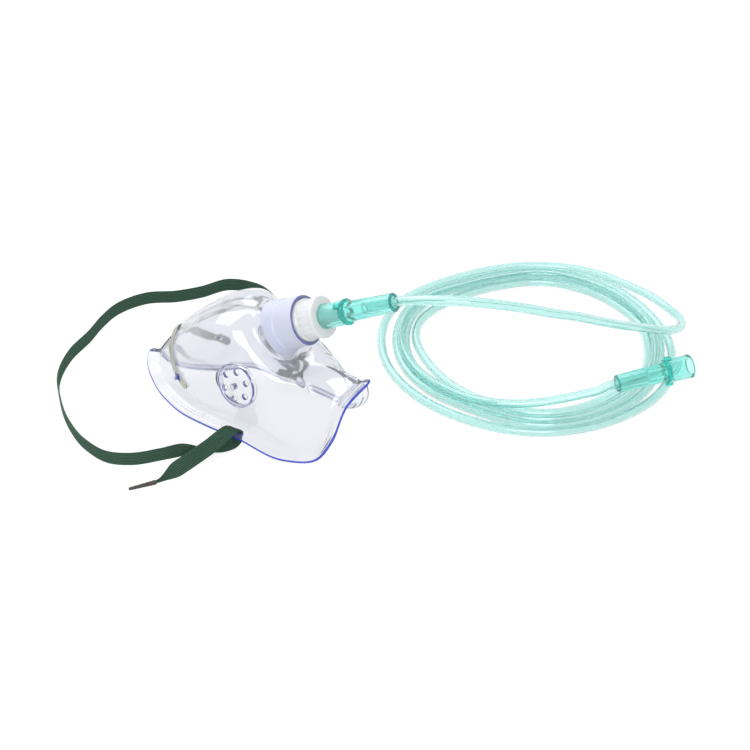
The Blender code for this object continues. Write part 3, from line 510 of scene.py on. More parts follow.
def flange(t, f, bead):
    """Flange: rim minus width f outwards, plus rise f and a bead of sine squared twice across it."""
    point = along_rim(RIMS, t) - (FLANGE_WIDTH * f)[..., None] * rim_outward(t)
    rise = hermite(STATIONS, RISES, t, RISES[1], RISES[-2])[..., 0]
    point[..., 2] += rise * f + bead * np.sin(2 * math.pi * f) ** 2
    return point


def neck(t):
    """Neck: an ellipse, centre plus cosine of its up axis and sine of its side axis; also the angle."""
    angle = np.interp(t, STATIONS, NECK_ANGLES)[..., None]
    across = NECK_SEMI_ACROSS * np.sin(angle) * SIDEWAYS
    return NECK_CENTRE + NECK_SEMI_UP * np.cos(angle) * NECK_UP + across, angle


def wall(t, v):
    """Wall: a cubic Bezier in v from the flange's root to the neck, with the two pulls as its handles."""
    root = flange(t, np.ones_like(t), 0.0)
    top, _ = neck(t)
    v = v[..., None]
    lower = root + along_rim(LEAVE, t)
    upper = top + along_rim(MEET, t)
    return (1 - v)**3 * root + 3 * (1 - v)**2 * v * lower + 3 * (1 - v) * v**2 * upper + v**3 * top


def wall_both(t, v):
    """The wall where a negative t means the other side, which mirrors y."""
    point = wall(np.abs(t), v)
    point[..., 1] *= np.where(t < 0, -1, 1)
    return point


def wall_frame(t, v):
    """Point on the wall, its unit normal and the two tangents, from central differences."""
    step = 1e-4
    along = (wall_both(t + step, v) - wall_both(t - step, v)) / (2 * step)
    up = (wall_both(t, v + step) - wall_both(t, v - step)) / (2 * step)
    return wall_both(t, v), unit(np.cross(up, along)), along, up


def port_ring(angle, along, radius):
    """Circle round the port's axis: mouth + along axis + radius (cos up + sin sideways)."""
    return PORT_MOUTH + along * PORT_AXIS + radius * (np.cos(angle) * PORT_UP + np.sin(angle) * SIDEWAYS)


def shell_rows(bead):
    """Rows from the flange's edge to the port's mouth round the whole mask, eased where walls meet.

    Each row is the half from nose to chin and its mirror. Easing replaces a row by a quarter of both
    neighbours and half of itself, a few times over, from the flange's inner part to the cuff.
    """
    t = np.linspace(0, 1, HALF_COLUMNS + 1)
    rows = [flange(t, np.full_like(t, f), bead) for f in np.linspace(0, 1, FLANGE_ROWS)]
    rows += [wall(t, np.full_like(t, v)) for v in np.linspace(0, 1, WALL_ROWS + 1)[1:]]
    base, angle = neck(t)
    shoulder = PORT_OUTER_R + PORT_SHOULDER
    top = port_ring(angle, -PORT_CUFF - PORT_COLLAR, shoulder)
    rows += [base * (1 - w) + top * w for w in np.linspace(0, 1, NECK_ROWS + 1)[1:]]
    rows = np.array(rows)
    first = EASED_FROM
    for _ in range(EASINGS):
        rows[first:-1] = (rows[first - 1:-2] + 2 * rows[first:-1] + rows[first + 1:]) / 4
    collar = [port_ring(angle, -PORT_CUFF - 0.1 * MM, shoulder)]
    collar += [port_ring(angle, -PORT_CUFF + PORT_SHOULDER, PORT_OUTER_R)]
    heights = np.linspace(-PORT_CUFF + 1 * MM, -LIP_ROUND, CUFF_ROWS)
    cuff = [port_ring(angle, height, PORT_OUTER_R) for height in heights]
    lip = [port_ring(angle, 0.0, PORT_OUTER_R - LIP_ROUND)]
    rows = np.concatenate([rows, collar, cuff, lip])
    return np.concatenate([rows, rows[:, -2:0:-1] * (1, -1, 1)], axis=1)


def row_normals(rows):
    """Unit normals of a grid of rings: cross product of its two differences, outwards."""
    up = np.gradient(rows, axis=0)
    around = np.roll(rows, -1, axis=1) - np.roll(rows, 1, axis=1)
    return unit(np.cross(up, around))


def build_shell():
    """The moulding: outer skin, inner skin a wall's thickness inside it, and round rim and lip between."""
    outer = shell_rows(FLANGE_BEAD)
    plain = shell_rows(0.0)
    inner = plain - SHELL_WALL * row_normals(plain)
    count = len(outer)
    from_mouth = outer[-1] - PORT_MOUTH
    angle = np.arctan2(from_mouth @ SIDEWAYS, from_mouth @ PORT_UP)[:, None]
    bore = PORT_OUTER_R - SHELL_WALL
    for k in range(count - PORT_ROWS, count):
        inner[k] = port_ring(angle, min((outer[k, 0] - PORT_MOUTH) @ PORT_AXIS, -LIP_ROUND), bore)
    lip = [port_ring(angle, 0.0, bore + LIP_ROUND)]
    middle = (outer[0] + inner[0]) / 2
    up = outer[0] - middle
    out = unit(outer[0] - outer[1])
    turns = np.radians((35, 70, 110, 145))
    rim = [middle - math.cos(a) * up + 0.35 * SHELL_WALL * math.sin(a) * out for a in turns]
    rows = np.concatenate([outer, lip, inner[::-1], rim])
    tags = np.full(len(rows), CLEAR)
    # The cuff's lip takes the paler painted edge glow, and the round rim takes the blue painted edge glow
    tags[count - PORT_ROWS - FROSTED_NECK_ROWS:count - LIP_ROWS] = FROSTED
    tags[count - LIP_ROWS:count] = SMALL_EDGE_GLOW
    tags[-len(rim):] = EDGE_GLOW
    return new_piece("mask_shell_moulding", rows, SHELL_MATERIALS, True, tags)


def pad_axes(side):
    """Axes and centre of a vent pad: X towards the top of the mask, Z out of the cheek."""
    return basis(PAD_NORMAL * (1, side, 1), (0, 0, 1)), PAD_CENTRE * (1, side, 1)


def flange_slot_axes(side):
    """Axes and centre of a strap slot: X along the rim, Z up."""
    at = np.array([SLOT_AT])
    point = flange(at, np.array([SLOT_FROM_EDGE / FLANGE_WIDTH]), FLANGE_BEAD)[0] * (1, side, 1)
    out = rim_outward(at)[0] * (1, side, 1)
    return basis((0, 0, 1), np.cross(out, (0, 0, 1))), point


# Nose clip

# Places along one arm on the wall, as (fraction round the rim, fraction up the wall)
CLIP_PATH = [
    (0.0, 0.245), (0.045, 0.262), (0.085, 0.272), (0.125, 0.268), (0.165, 0.25), (0.2, 0.23),
    (0.225, 0.21), (0.252, 0.178),
]
CLIP_LINE_STEPS = 150
CLIP_ROWS = 201
CLIP_WIDTH = 5.2 * MM
CLIP_THICKNESS = 0.8 * MM
CLIP_SLOT_LENGTH = 5.6 * MM
CLIP_SLOT_WIDTH = 2.0 * MM
CLIP_PEG_FROM_TIP = 7.5 * MM
PEG_STEM_LENGTH = 3.0 * MM
PEG_STEM_WIDTH = 1.2 * MM
PEG_BAR_LENGTH = 5.4 * MM
PEG_BAR_WIDTH = 1.4 * MM
PEG_BAR_HEIGHT = 1.1 * MM


def clip_line():
    """Fine line of wall fractions along both arms, and each one's distance from the bend, signed by side."""
    arm = np.array(CLIP_PATH)
    both = np.vstack([arm[:0:-1] * (-1, 1), arm])
    fine = smooth_path(both, arm[-1, 0] / CLIP_LINE_STEPS)
    run = run_along(wall_both(fine[:, 0], fine[:, 1]))
    return fine, run - run[-1] / 2


def clip_peg_axes():
    """Axes and centres of the two moulded pegs: X along the strip, Z off the wall."""
    fine, run = clip_line()
    made = []
    for side in (1, -1):
        at = side * (run[-1] - CLIP_PEG_FROM_TIP)
        t = np.array([np.interp(at, run, fine[:, 0])])
        v = np.array([np.interp(at, run, fine[:, 1])])
        ahead = np.array([np.interp(at + side * MM, run, fine[:, k]) for k in (0, 1)])[:, None]
        point, normal, _, _ = wall_frame(t, v)
        made.append((basis(normal[0], wall_both(*ahead)[0] - point[0]), point[0]))
    return made


def build_clip():
    """The strip: its middle line on the wall, carried across by the wall's own tangents, with round ends.

    A step across of vector w is turned into steps of the two fractions by solving
    w = along dt + up dv in the wall's tangent plane, so the strip follows the wall all over.
    """
    fine, run = clip_line()
    half = CLIP_WIDTH / 2
    straight = run[-1] - half
    ends = half * np.sin(np.radians((20, 40, 56, 70, 80, 86)))
    middle = np.linspace(-straight, straight, CLIP_ROWS)
    stops = np.r_[-straight - ends[::-1], middle, straight + ends]
    over = np.clip((np.abs(stops) - straight) / half, 0, 0.9999)
    reach = half * np.sqrt(1 - over**2)
    t = np.interp(stops, run, fine[:, 0])
    v = np.interp(stops, run, fine[:, 1])
    point, normal, along, up = wall_frame(t, v)
    side = unit(np.cross(normal, np.gradient(point, axis=0)))
    flat_share = 0.85
    share = np.array((-1, -0.97, -flat_share, -0.5, 0, 0.5, flat_share, 0.97, 1.0))
    across = side[:, None, :] * (reach[:, None] * share)[..., None]
    a = (along * along).sum(-1)[:, None]
    b = (along * up).sum(-1)[:, None]
    c = (up * up).sum(-1)[:, None]
    p = (across * along[:, None]).sum(-1)
    q = (across * up[:, None]).sum(-1)
    dt = (p * c - q * b) / (a * c - b * b)
    dv = (q * a - p * b) / (a * c - b * b)
    place, off, _, _ = wall_frame(t[:, None] + dt, v[:, None] + dv)
    beyond = np.clip((np.abs(share) - flat_share) / (1 - flat_share), 0, 1)
    drop = CLIP_THICKNESS / 2 * (1 - np.sqrt(1 - 0.999 * beyond**2))
    top = place + off * (CLEARANCE + CLIP_THICKNESS - drop)[:, None]
    bottom = place + off * (CLEARANCE + drop)[:, None]
    rows = np.concatenate([top, bottom[:, ::-1]], axis=1)
    widths = np.r_[share, share[::-1] + 4, 3.2] * half
    clip = new_piece("nose_clip_strip", rows, [ALUMINIUM], uv=grid_uv(stops, widths))
    slots = [solid(stadium_cutter(CLIP_SLOT_LENGTH, CLIP_SLOT_WIDTH, 6 * MM, point, axes), 0)
             for axes, point in clip_peg_axes()]
    combine(clip, joined("clip_slots", slots, [ALUMINIUM]), "DIFFERENCE")
    return clip


def add_shell_features(shell):
    """Join the vent pads and pegs to the moulding and cut its vent holes and strap slots."""
    step = 0.3 * MM
    bevel = 0.25 * MM
    inside = PAD_R - 1.1 * MM
    face = PAD_RISE - step
    web_back = -0.8 * MM
    pad_profile = [
        (inside, web_back), (inside, -PAD_DEPTH), (PAD_R - 0.4 * MM, -PAD_DEPTH),
        (PAD_R, -PAD_DEPTH + 0.4 * MM), (PAD_R, face), (PAD_R - step, PAD_RISE),
        (inside + 0.15 * MM, PAD_RISE), (inside, face), (inside - 0.5 * MM, face),
    ]
    # The pads' ring edges, the holes' bevels, the slot walls and the peg stems take the blue painted edge
    # glow; the pegs' rounded shoulders and the bars take the paler one
    pad_tags = [CLEAR, CLEAR, CLEAR, CLEAR, EDGE_GLOW, CLEAR, EDGE_GLOW, CLEAR]
    top = PAD_RISE + VENT_PEG_HEIGHT
    peg_profile = [
        (VENT_PEG_R, -0.3 * MM), (VENT_PEG_R, top - 0.5 * MM), (VENT_PEG_R - 0.2 * MM, top - 0.15 * MM),
        (VENT_PEG_R - 0.6 * MM, top),
    ]
    peg_tags = [CLEAR, SMALL_EDGE_GLOW, CLEAR]
    hole_profile = [
        (VENT_HOLE_R, -4 * PAD_DEPTH), (VENT_HOLE_R, face - bevel), (VENT_HOLE_R + 2 * bevel, face + bevel),
        (VENT_HOLE_R + 2 * bevel, 2 * PAD_RISE),
    ]
    hole_tags = [CLEAR, EDGE_GLOW, CLEAR]
    opening_r = (inside + PAD_R) / 2
    opening_profile = [(opening_r, -4 * PAD_DEPTH), (opening_r, 2 * PAD_DEPTH)]
    pads, openings, pegs, holes = [], [], [], []
    for side in (1, -1):
        axes, centre = pad_axes(side)
        pads.append(solid(lathe(pad_profile, centre, axes), pad_tags))
        openings.append(solid(lathe(opening_profile, centre, axes), CLEAR))
        pegs.append(solid(lathe(peg_profile, centre, axes, 40), peg_tags))
        for turn in np.arange(VENT_HOLES) * 2 * math.pi / VENT_HOLES:
            place = centre + VENT_PITCH_R * (math.cos(turn) * axes[0] + math.sin(turn) * axes[1])
            holes.append(solid(lathe(hole_profile, place, axes, 32), hole_tags))
        axes, point = flange_slot_axes(side)
        holes.append(solid(stadium_cutter(SLOT_LENGTH, SLOT_WIDTH, 9 * MM, point, axes), EDGE_GLOW))
    bar_low = CLEARANCE + CLIP_THICKNESS + CLEARANCE
    stem_low = -SHELL_WALL / 2
    stem_high = bar_low + PEG_BAR_HEIGHT / 2
    bars = []
    for axes, point in clip_peg_axes():
        stem = (PEG_STEM_LENGTH, PEG_STEM_WIDTH, stem_high - stem_low)
        pegs.append(solid(rounded_block(stem, point + axes[2] * (stem_high + stem_low) / 2, axes), EDGE_GLOW))
        bar = (PEG_BAR_WIDTH, PEG_BAR_LENGTH, PEG_BAR_HEIGHT)
        middle = point + axes[2] * (bar_low + PEG_BAR_HEIGHT / 2)
        bars.append(solid(rounded_block(bar, middle, axes, 0.35), SMALL_EDGE_GLOW))
    combine(shell, joined("vent_openings", openings, SHELL_MATERIALS), "DIFFERENCE")
    combine(shell, joined("vent_pads", pads, SHELL_MATERIALS), "UNION")
    combine(shell, joined("moulded_pegs", pegs, SHELL_MATERIALS), "UNION")
    combine(shell, joined("peg_bars", bars, SHELL_MATERIALS), "UNION")
    combine(shell, joined("vent_holes", holes, SHELL_MATERIALS), "DIFFERENCE")


# Port adapter, measured outwards from the port's mouth

ADAPTER_INSERT = 8.0 * MM
ADAPTER_LIP = 1.2 * MM
ADAPTER_BODY_R = 9.9 * MM
ADAPTER_BODY_END = 8.5 * MM
ADAPTER_RIBS = 20
ADAPTER_RIB = 0.12 * MM
ADAPTER_STEPS = 160
ADAPTER_COLLAR_R = 10.5 * MM
ADAPTER_END = 11.0 * MM
ADAPTER_WALL = 2.2 * MM
ADAPTER_ROOF = 1.5 * MM
NIPPLE_R = 3.3 * MM
NIPPLE_LENGTH = 11.0 * MM
NIPPLE_BORE_R = 1.5 * MM


def build_adapter():
    """The plug: a turned section with insert, lip, body, collar and nipple, hollow from below.

    The body's radius ripples round it by a cosine, which makes its low ribs.
    """
    insert_r = PORT_OUTER_R - SHELL_WALL - CLEARANCE
    hollow_r = insert_r - ADAPTER_WALL
    soft = 0.35 * MM
    end = ADAPTER_END
    tip = end + NIPPLE_LENGTH
    roof = end - ADAPTER_ROOF
    nipple = [
        (NIPPLE_BORE_R, tip), (NIPPLE_R - soft, tip), (NIPPLE_R, tip - 2 * soft), (NIPPLE_R, end + soft),
        (NIPPLE_R + soft, end),
    ]
    collar = [
        (ADAPTER_COLLAR_R - 2 * soft, end), (ADAPTER_COLLAR_R - 0.6 * soft, end - 0.6 * soft),
        (ADAPTER_COLLAR_R, end - 2 * soft), (ADAPTER_COLLAR_R, ADAPTER_BODY_END + soft),
        (ADAPTER_COLLAR_R - soft, ADAPTER_BODY_END),
    ]
    body = [(ADAPTER_BODY_R, ADAPTER_BODY_END - 0.2 * soft), (ADAPTER_BODY_R, ADAPTER_LIP + soft)]
    insert = [
        (ADAPTER_BODY_R + soft, ADAPTER_LIP), (insert_r - soft, ADAPTER_LIP), (insert_r, ADAPTER_LIP - soft),
        (insert_r, -ADAPTER_INSERT + soft), (insert_r - soft, -ADAPTER_INSERT), (hollow_r, -ADAPTER_INSERT),
        (hollow_r, roof), (NIPPLE_BORE_R, roof),
    ]
    across = np.cross(PORT_AXIS, PORT_UP)
    axes = np.array((PORT_UP, across, PORT_AXIS))
    rows = lathe(nipple + collar + body + insert, PORT_MOUTH, axes, ADAPTER_STEPS)
    angle = np.linspace(0, 2 * math.pi, ADAPTER_STEPS, endpoint=False)[:, None]
    outwards = np.cos(angle) * PORT_UP + np.sin(angle) * across
    body_start = len(nipple) + len(collar)
    rows[body_start:body_start + len(body)] += ADAPTER_RIB * np.cos(ADAPTER_RIBS * angle) * outwards
    return new_piece("port_adapter_plug", rows, [MILKY_PP], True)


# Funnel connectors

TUBE_R = 2.4 * MM
TUBE_BORE_R = 1.5 * MM
FUNNEL_LENGTH = 41.7 * MM
FUNNEL_CUP_LENGTH = 13.0 * MM
FUNNEL_CUP_R = 6.2 * MM
FUNNEL_FLARE_R = 6.45 * MM
FUNNEL_RING_R = 6.6 * MM
FUNNEL_RING_WIDTH = 1.5 * MM
FUNNEL_BARREL_R = 5.1 * MM
FUNNEL_TIP_R = 4.6 * MM
FUNNEL_MOUTH_BORE_R = 4.4 * MM
FUNNEL_THROAT_R = 2.0 * MM
TUBE_PUSHED_IN = 17.0 * MM
WING_REACH = 8.0 * MM
WING_THICKNESS = 3.0 * MM
WING_START = 10.5 * MM
WING_LENGTH = 4.0 * MM
# Material slot numbers of a funnel: its walls, and its ends, ring and wings, whose bright green is a painted
# glow
PLAIN, PAINTED_GLOW = range(2)


def build_funnel(name, mouth, narrow_end, wing_turn):
    """A connector: a turned section from its narrow end to its mouth and back, joined to two rounded wings.

    Each point is (radius, height, material slot of the band that follows it: plain wall, or the painted glow
    of ends and ring).
    """
    axes = basis(narrow_end - mouth, (0, 0, 1))
    cup = FUNNEL_CUP_LENGTH
    ring_end = cup + FUNNEL_RING_WIDTH
    socket_r = TUBE_R + CLEARANCE
    socket_start = FUNNEL_LENGTH - TUBE_PUSHED_IN
    soft = 0.3 * MM
    cup_end = cup - 3 * soft
    profile = np.array([
        (socket_r, FUNNEL_LENGTH, PAINTED_GLOW), (FUNNEL_TIP_R - soft, FUNNEL_LENGTH, PAINTED_GLOW),
        (FUNNEL_TIP_R, FUNNEL_LENGTH - soft, PLAIN), (FUNNEL_TIP_R + 0.1 * MM, FUNNEL_LENGTH - 5 * MM, PLAIN),
        (FUNNEL_BARREL_R, ring_end + 2 * soft, PAINTED_GLOW), (FUNNEL_BARREL_R + soft, ring_end + soft, PAINTED_GLOW),
        (FUNNEL_RING_R - soft, ring_end, PAINTED_GLOW), (FUNNEL_RING_R, ring_end - soft, PAINTED_GLOW),
        (FUNNEL_RING_R, cup + soft, PAINTED_GLOW), (FUNNEL_RING_R - soft, cup, PAINTED_GLOW),
        (FUNNEL_CUP_R, cup - soft, PLAIN), (FUNNEL_CUP_R, 6 * soft, PLAIN),
        (FUNNEL_FLARE_R, 2 * soft, PAINTED_GLOW), (FUNNEL_FLARE_R, soft, PAINTED_GLOW),
        (FUNNEL_FLARE_R - soft, 0.0, PAINTED_GLOW), (FUNNEL_MOUTH_BORE_R + soft, 0.0, PLAIN),
        (FUNNEL_MOUTH_BORE_R, soft, PLAIN),
        (NIPPLE_R + CLEARANCE, cup_end, PLAIN), (FUNNEL_THROAT_R, cup_end + 2 * soft, PLAIN),
        (FUNNEL_THROAT_R, socket_start, PLAIN), (socket_r, socket_start + 2 * soft, PLAIN),
    ])
    funnel = new_piece(name, lathe(profile, mouth, axes), FUNNEL_MATERIALS, True, profile[:, 2])
    wings = []
    for turn in (wing_turn, wing_turn + math.pi):
        outward = math.cos(turn) * axes[0] + math.sin(turn) * axes[1]
        inner = FUNNEL_BARREL_R - 0.8 * MM
        middle = mouth + outward * (inner + WING_REACH) / 2 + axes[2] * (WING_START + WING_LENGTH / 2)
        size = (WING_REACH - inner, WING_THICKNESS, WING_LENGTH)
        wing = rounded_block(size, middle, (outward, np.cross(axes[2], outward), axes[2]), 0.45)
        wings.append(solid(wing, PAINTED_GLOW))
    combine(funnel, joined(name + "_wings", wings, FUNNEL_MATERIALS), "UNION")
    return funnel


# Oxygen tube

# Route of the free tube from the mask's funnel to the coil, in millimetres
LEAD_ROUTE = [
    (89.9, -0.6, 96.2), (99.0, 0.0, 98.6), (108.2, 2.5, 99.6), (119.0, 7.8, 98.6), (128.1, 15.0, 95.5),
    (137.8, 24.6, 90.4), (145.9, 35.7, 83.5), (154.6, 52.3, 73.5), (161.2, 69.7, 61.8), (167.8, 88.5, 49.5),
    (172.7, 106.8, 38.0), (178.8, 126.5, 26.0), (183.2, 142.8, 17.0), (183.5, 157.6, 10.8),
    (178.6, 170.3, 6.6), (171.1, 179.2, 4.0), (159.7, 188.2, 2.7), (149.2, 192.7, 2.5),
    (138.0, 195.9, 2.5), (127.0, 198.2, 2.5),
]
COIL_CENTRE = (108.4, 115.05)
# The coil's turns about its centre: angle in degrees and radius in millimetres. Each turn lies inside the
# last one, with its middle line at this height.
COIL_LOW = 2.4
COIL_TURNS = [
    (88, 83.6), (97, 81.9), (109, 79.2), (123, 76.5), (137, 74.6), (148, 74.8), (158, 76.2), (170, 78.7),
    (184, 80.6), (200, 80.3), (218, 79.6), (240, 78.0), (257, 76.9), (271, 76.6), (285, 77.2),
    (300, 77.8), (318, 78.3), (334, 79.3), (348, 80.6), (360, 81.0), (374, 79.9), (387, 79.4),
    (400, 78.0), (415, 77.6), (430, 78.0), (445, 77.4), (458, 76.4), (470, 74.0), (483, 71.4),
    (497, 69.6), (508, 69.6), (518, 70.8), (530, 72.0), (545, 72.4), (562, 71.7), (576, 71.3),
    (590, 70.6), (605, 69.2), (622, 67.6), (640, 69.2), (655, 71.8), (670, 72.7), (685, 73.3),
    (700, 73.8), (722, 73.5), (736, 73.5), (747, 73.9), (760, 73.1), (775, 72.6), (790, 73.1),
    (805, 72.5), (818, 71.5), (830, 69.1), (843, 66.5), (857, 64.7), (868, 64.7), (878, 65.9),
    (890, 67.1), (905, 67.5), (922, 66.8), (936, 66.4), (950, 65.7), (965, 64.3), (982, 62.7),
    (1000, 64.3), (1015, 66.9), (1030, 67.8), (1045, 68.3), (1060, 68.4), (1082, 67.4), (1096, 67.0),
    (1107, 67.4), (1120, 68.0), (1135, 66.8), (1150, 66.0), (1165, 65.0), (1178, 63.8), (1190, 61.5),
    (1203, 58.7), (1217, 57.4), (1228, 57.3), (1238, 57.8), (1250, 59.4), (1265, 61.6), (1282, 60.9),
    (1296, 58.6), (1310, 57.2), (1325, 57.2), (1342, 57.8), (1360, 59.5), (1375, 62.0), (1390, 62.9),
]
# The final turn, which rides over the others to the supply funnel: angle, radius and height
COIL_TOP_TURN = [
    (1405, 63.2, 3.2), (1420, 65.4, 6.0), (1430, 67.8, 7.3), (1442, 70.3, 6.3), (1456, 70.4, 5.9),
    (1467, 70.8, 6.2), (1480, 70.6, 6.6), (1495, 69.8, 6.5), (1510, 69.6, 5.7), (1525, 68.7, 5.6),
    (1538, 67.6, 5.6), (1550, 65.3, 5.6), (1563, 62.6, 5.2), (1577, 61.1, 5.5), (1588, 61.3, 5.6),
    (1598, 63.0, 6.2), (1610, 65.6, 7.1), (1622, 67.8, 7.3), (1640, 69.3, 6.7), (1656, 68.9, 6.6),
    (1670, 68.2, 6.6), (1685, 66.9, 6.6), (1698, 65.6, 6.6), (1706, 64.9, 6.9), (1715, 63.6, 7.3),
    (1725, 62.2, 7.6), (1738, 60.7, 8.4), (1749, 60.9, 9.7), (1758, 62.5, 11.2), (1766, 65.6, 13.2),
]
SOURCE_NARROW_END = (171.2, 85.2, 16.0)
SOURCE_MOUTH = (200.3, 112.7, 18.0)
TUBE_STEP = 1.6 * MM
TUBE_COLUMNS = 28


def tube_route(mask_end, mask_axis, source_end, source_axis):
    """Middle line of the whole tube: seated in one funnel, along the lead, round the coil, into the other."""
    seated = TUBE_PUSHED_IN - 2 * CLEARANCE
    start = [mask_end - mask_axis * s for s in (seated, seated / 2, 0.0, -2 * TUBE_R)]
    turns = np.array([(*turn, COIL_LOW) for turn in COIL_TURNS] + COIL_TOP_TURN)
    angle = np.radians(turns[:, 0])
    x = COIL_CENTRE[0] + turns[:, 1] * np.cos(angle)
    y = COIL_CENTRE[1] + turns[:, 1] * np.sin(angle)
    coil = placed(np.stack([x, y, turns[:, 2]], axis=-1))
    end = [source_end + source_axis * s for s in (2 * TUBE_R, 0.0, -seated / 2, -seated)]
    return smooth_path(np.vstack([start, placed(LEAD_ROUTE), coil, end]), TUBE_STEP)


def tube_rings(path, radius):
    """Rings round a path: point + radius (cos a side + sin a up), side level and up square to the path."""
    run = unit(np.gradient(path, axis=0))
    side = unit(np.cross(run, (0, 0, 1)))
    up = np.cross(side, run)
    angle = np.linspace(0, 2 * math.pi, TUBE_COLUMNS, endpoint=False)[:, None]
    return path[:, None] + radius * (np.cos(angle) * side[:, None] + np.sin(angle) * up[:, None])


def build_tube(path):
    """The tube: outer rings along the path and bore rings back, closed over both cut ends."""
    rings = np.concatenate([tube_rings(path, TUBE_R), tube_rings(path, TUBE_BORE_R)[::-1]])
    along = run_along(path)
    across = np.linspace(0, 2 * math.pi * TUBE_R, TUBE_COLUMNS + 1)
    uv = grid_uv(np.r_[along, along[::-1]], across, True)
    return new_piece("oxygen_tube", rings, [TUBE_PVC], True, uv=uv)


# Head strap

STRAP_WIDTH = 8.0 * MM
STRAP_THICKNESS = 0.8 * MM
STRAP_TIP_WIDTH = 1.8 * MM
STRAP_RIBS = 8
STRAP_STEP = 0.8 * MM
BAND_COLUMNS = 48
# Places of the band's middle line in millimetres and the direction of its width, from the near tail
# through the near slot, round the loop and through the far slot to the far tail
STRAP_ROUTE = [
    (-13.4, -72.0, 1.7, (0.65, -0.27, -0.71)), (-12.0, -70.4, 2.2, (0.65, -0.27, -0.71)),
    (-10.2, -67.4, 3.1, (0.65, -0.27, -0.71)), (-8.2, -62.2, 3.8, (0.65, -0.27, -0.71)),
    (-5.1, -53.1, 4.5, (0.65, -0.27, -0.71)), (-2.9, -47.0, 5.2, (0.68, -0.26, -0.68)),
    (-0.3, -41.0, 6.5, (0.8, -0.25, -0.55)), (2.0, -35.4, 8.4, (0.92, -0.15, -0.3)),
    (3.9, -30.8, 9.8, (1, -0.05, -0.1)), (4.9, -27.8, 9.6, (1, 0, 0)),
    (5.1, -25.9, 7.6, (1, 0, 0)), (5.1, -25.9, 5.4, (1, 0, 0)), (5.1, -26.1, 3.4, (1, 0, 0)),
    (5.0, -27.4, 1.7, (1, 0, 0)), (4.6, -30.0, 1.1, (1, 0, 0)), (2.0, -34.6, 1.1, (0.96, -0.25, 0)),
    (-2.4, -39.2, 1.8, (0.8, -0.55, 0.25)), (-7.6, -43.2, 3.7, (0.45, -0.5, 0.75)),
    (-13.2, -48.2, 4.3, (0, 0, 1)),
    (-20.3, -55.4, 4.4, (0, 0, 1)), (-31.9, -65.3, 4.4, (0, 0, 1)), (-42.9, -69.3, 4.4, (0, 0, 1)),
    (-58.8, -66.2, 4.4, (0, 0, 1)), (-76.4, -56.0, 4.4, (0, 0, 1)), (-93.3, -40.1, 4.4, (0, 0, 1)),
    (-102.7, -28.3, 4.4, (0, 0, 1)), (-110.5, -6.1, 4.4, (0, 0, 1)), (-111.2, 13.6, 4.4, (0, 0, 1)),
    (-112.8, 27.0, 4.4, (0, 0, 1)), (-112.2, 42.0, 4.4, (0, 0, 1)), (-103.2, 58.5, 4.4, (0, 0, 1)),
    (-88.4, 68.0, 4.4, (0, 0, 1)), (-78.4, 77.6, 4.4, (0, 0, 1)), (-68.1, 91.3, 4.4, (0, 0, 1)),
    (-48.2, 94.2, 4.4, (0, 0, 1)), (-32.9, 86.2, 4.5, (0, 0, 1)), (-15.0, 65.0, 5.5, (0, 0, 1)),
    (-2.0, 49.0, 7.0, (0.1, 0, 1)), (3.0, 41.0, 9.0, (0.5, 0.1, 0.85)), (5.0, 35.6, 10.0, (0.9, 0.1, 0.4)),
    (5.1, 31.2, 10.3, (1, 0, 0)), (5.1, 27.8, 9.6, (1, 0, 0)), (5.1, 25.9, 7.6, (1, 0, 0)),
    (5.1, 25.9, 5.4, (1, 0, 0)), (5.1, 26.1, 3.4, (1, 0, 0)), (5.0, 27.4, 1.7, (1, 0, 0)),
    (4.9, 30.0, 1.1, (1, 0, 0)), (5.0, 34.0, 1.1, (1, 0, 0)), (5.1, 38.6, 1.1, (1, 0, 0)),
    (5.3, 43.6, 1.2, (1, 0, 0)), (5.4, 46.6, 1.6, (1, 0, 0)),
]
NEAR_SLOT_ROW = 11
AGLET_R = 1.25 * MM
AGLET_TIP_R = 0.8 * MM
AGLET_LENGTH = 14.0 * MM
AGLET_CRIMPS = 9
AGLET_COLUMNS = 32


def strap_line():
    """Middle line, run and width direction along the whole band, and where the near slot falls on it."""
    centres = placed([row[:3] for row in STRAP_ROUTE])
    widths = np.array([row[3] for row in STRAP_ROUTE], float) * MM
    fine = smooth_path(np.hstack([centres, widths]), STRAP_STEP)
    centre = fine[:, :3]
    run = unit(np.gradient(centre, axis=0))
    width = fine[:, 3:]
    width = unit(width - (width * run).sum(axis=1, keepdims=True) * run)
    near_slot = int(np.argmin(np.linalg.norm(centre - centres[NEAR_SLOT_ROW], axis=1)))
    return centre, run, width, near_slot


def band_rows(centre, run, width, half_width):
    """Cross-sections of the band: a flat oval whose two faces carry ribs, as a cosine of the place across.

    Half thickness = T (0.75 + 0.25 cos(pi ribs u)) sqrt(1 - u^8), with u from -1 to 1 across the band.
    """
    u = -np.cos(np.linspace(0, math.pi, BAND_COLUMNS))
    body = 0.75 + 0.25 * np.cos(math.pi * STRAP_RIBS * u)
    half = STRAP_THICKNESS / 2 * body * np.sqrt(1 - np.abs(u) ** 8) + 0.02 * MM
    thick = np.cross(run, width)[:, None]
    flat = centre[:, None] + (half_width[:, None] * u)[..., None] * width[:, None]
    top = flat + half[:, None] * thick
    bottom = flat - half[:, None] * thick
    places = np.r_[u, u[::-1] + 2.0, 1.0] * STRAP_WIDTH / 2
    return np.concatenate([top, bottom[:, ::-1]], axis=1), places


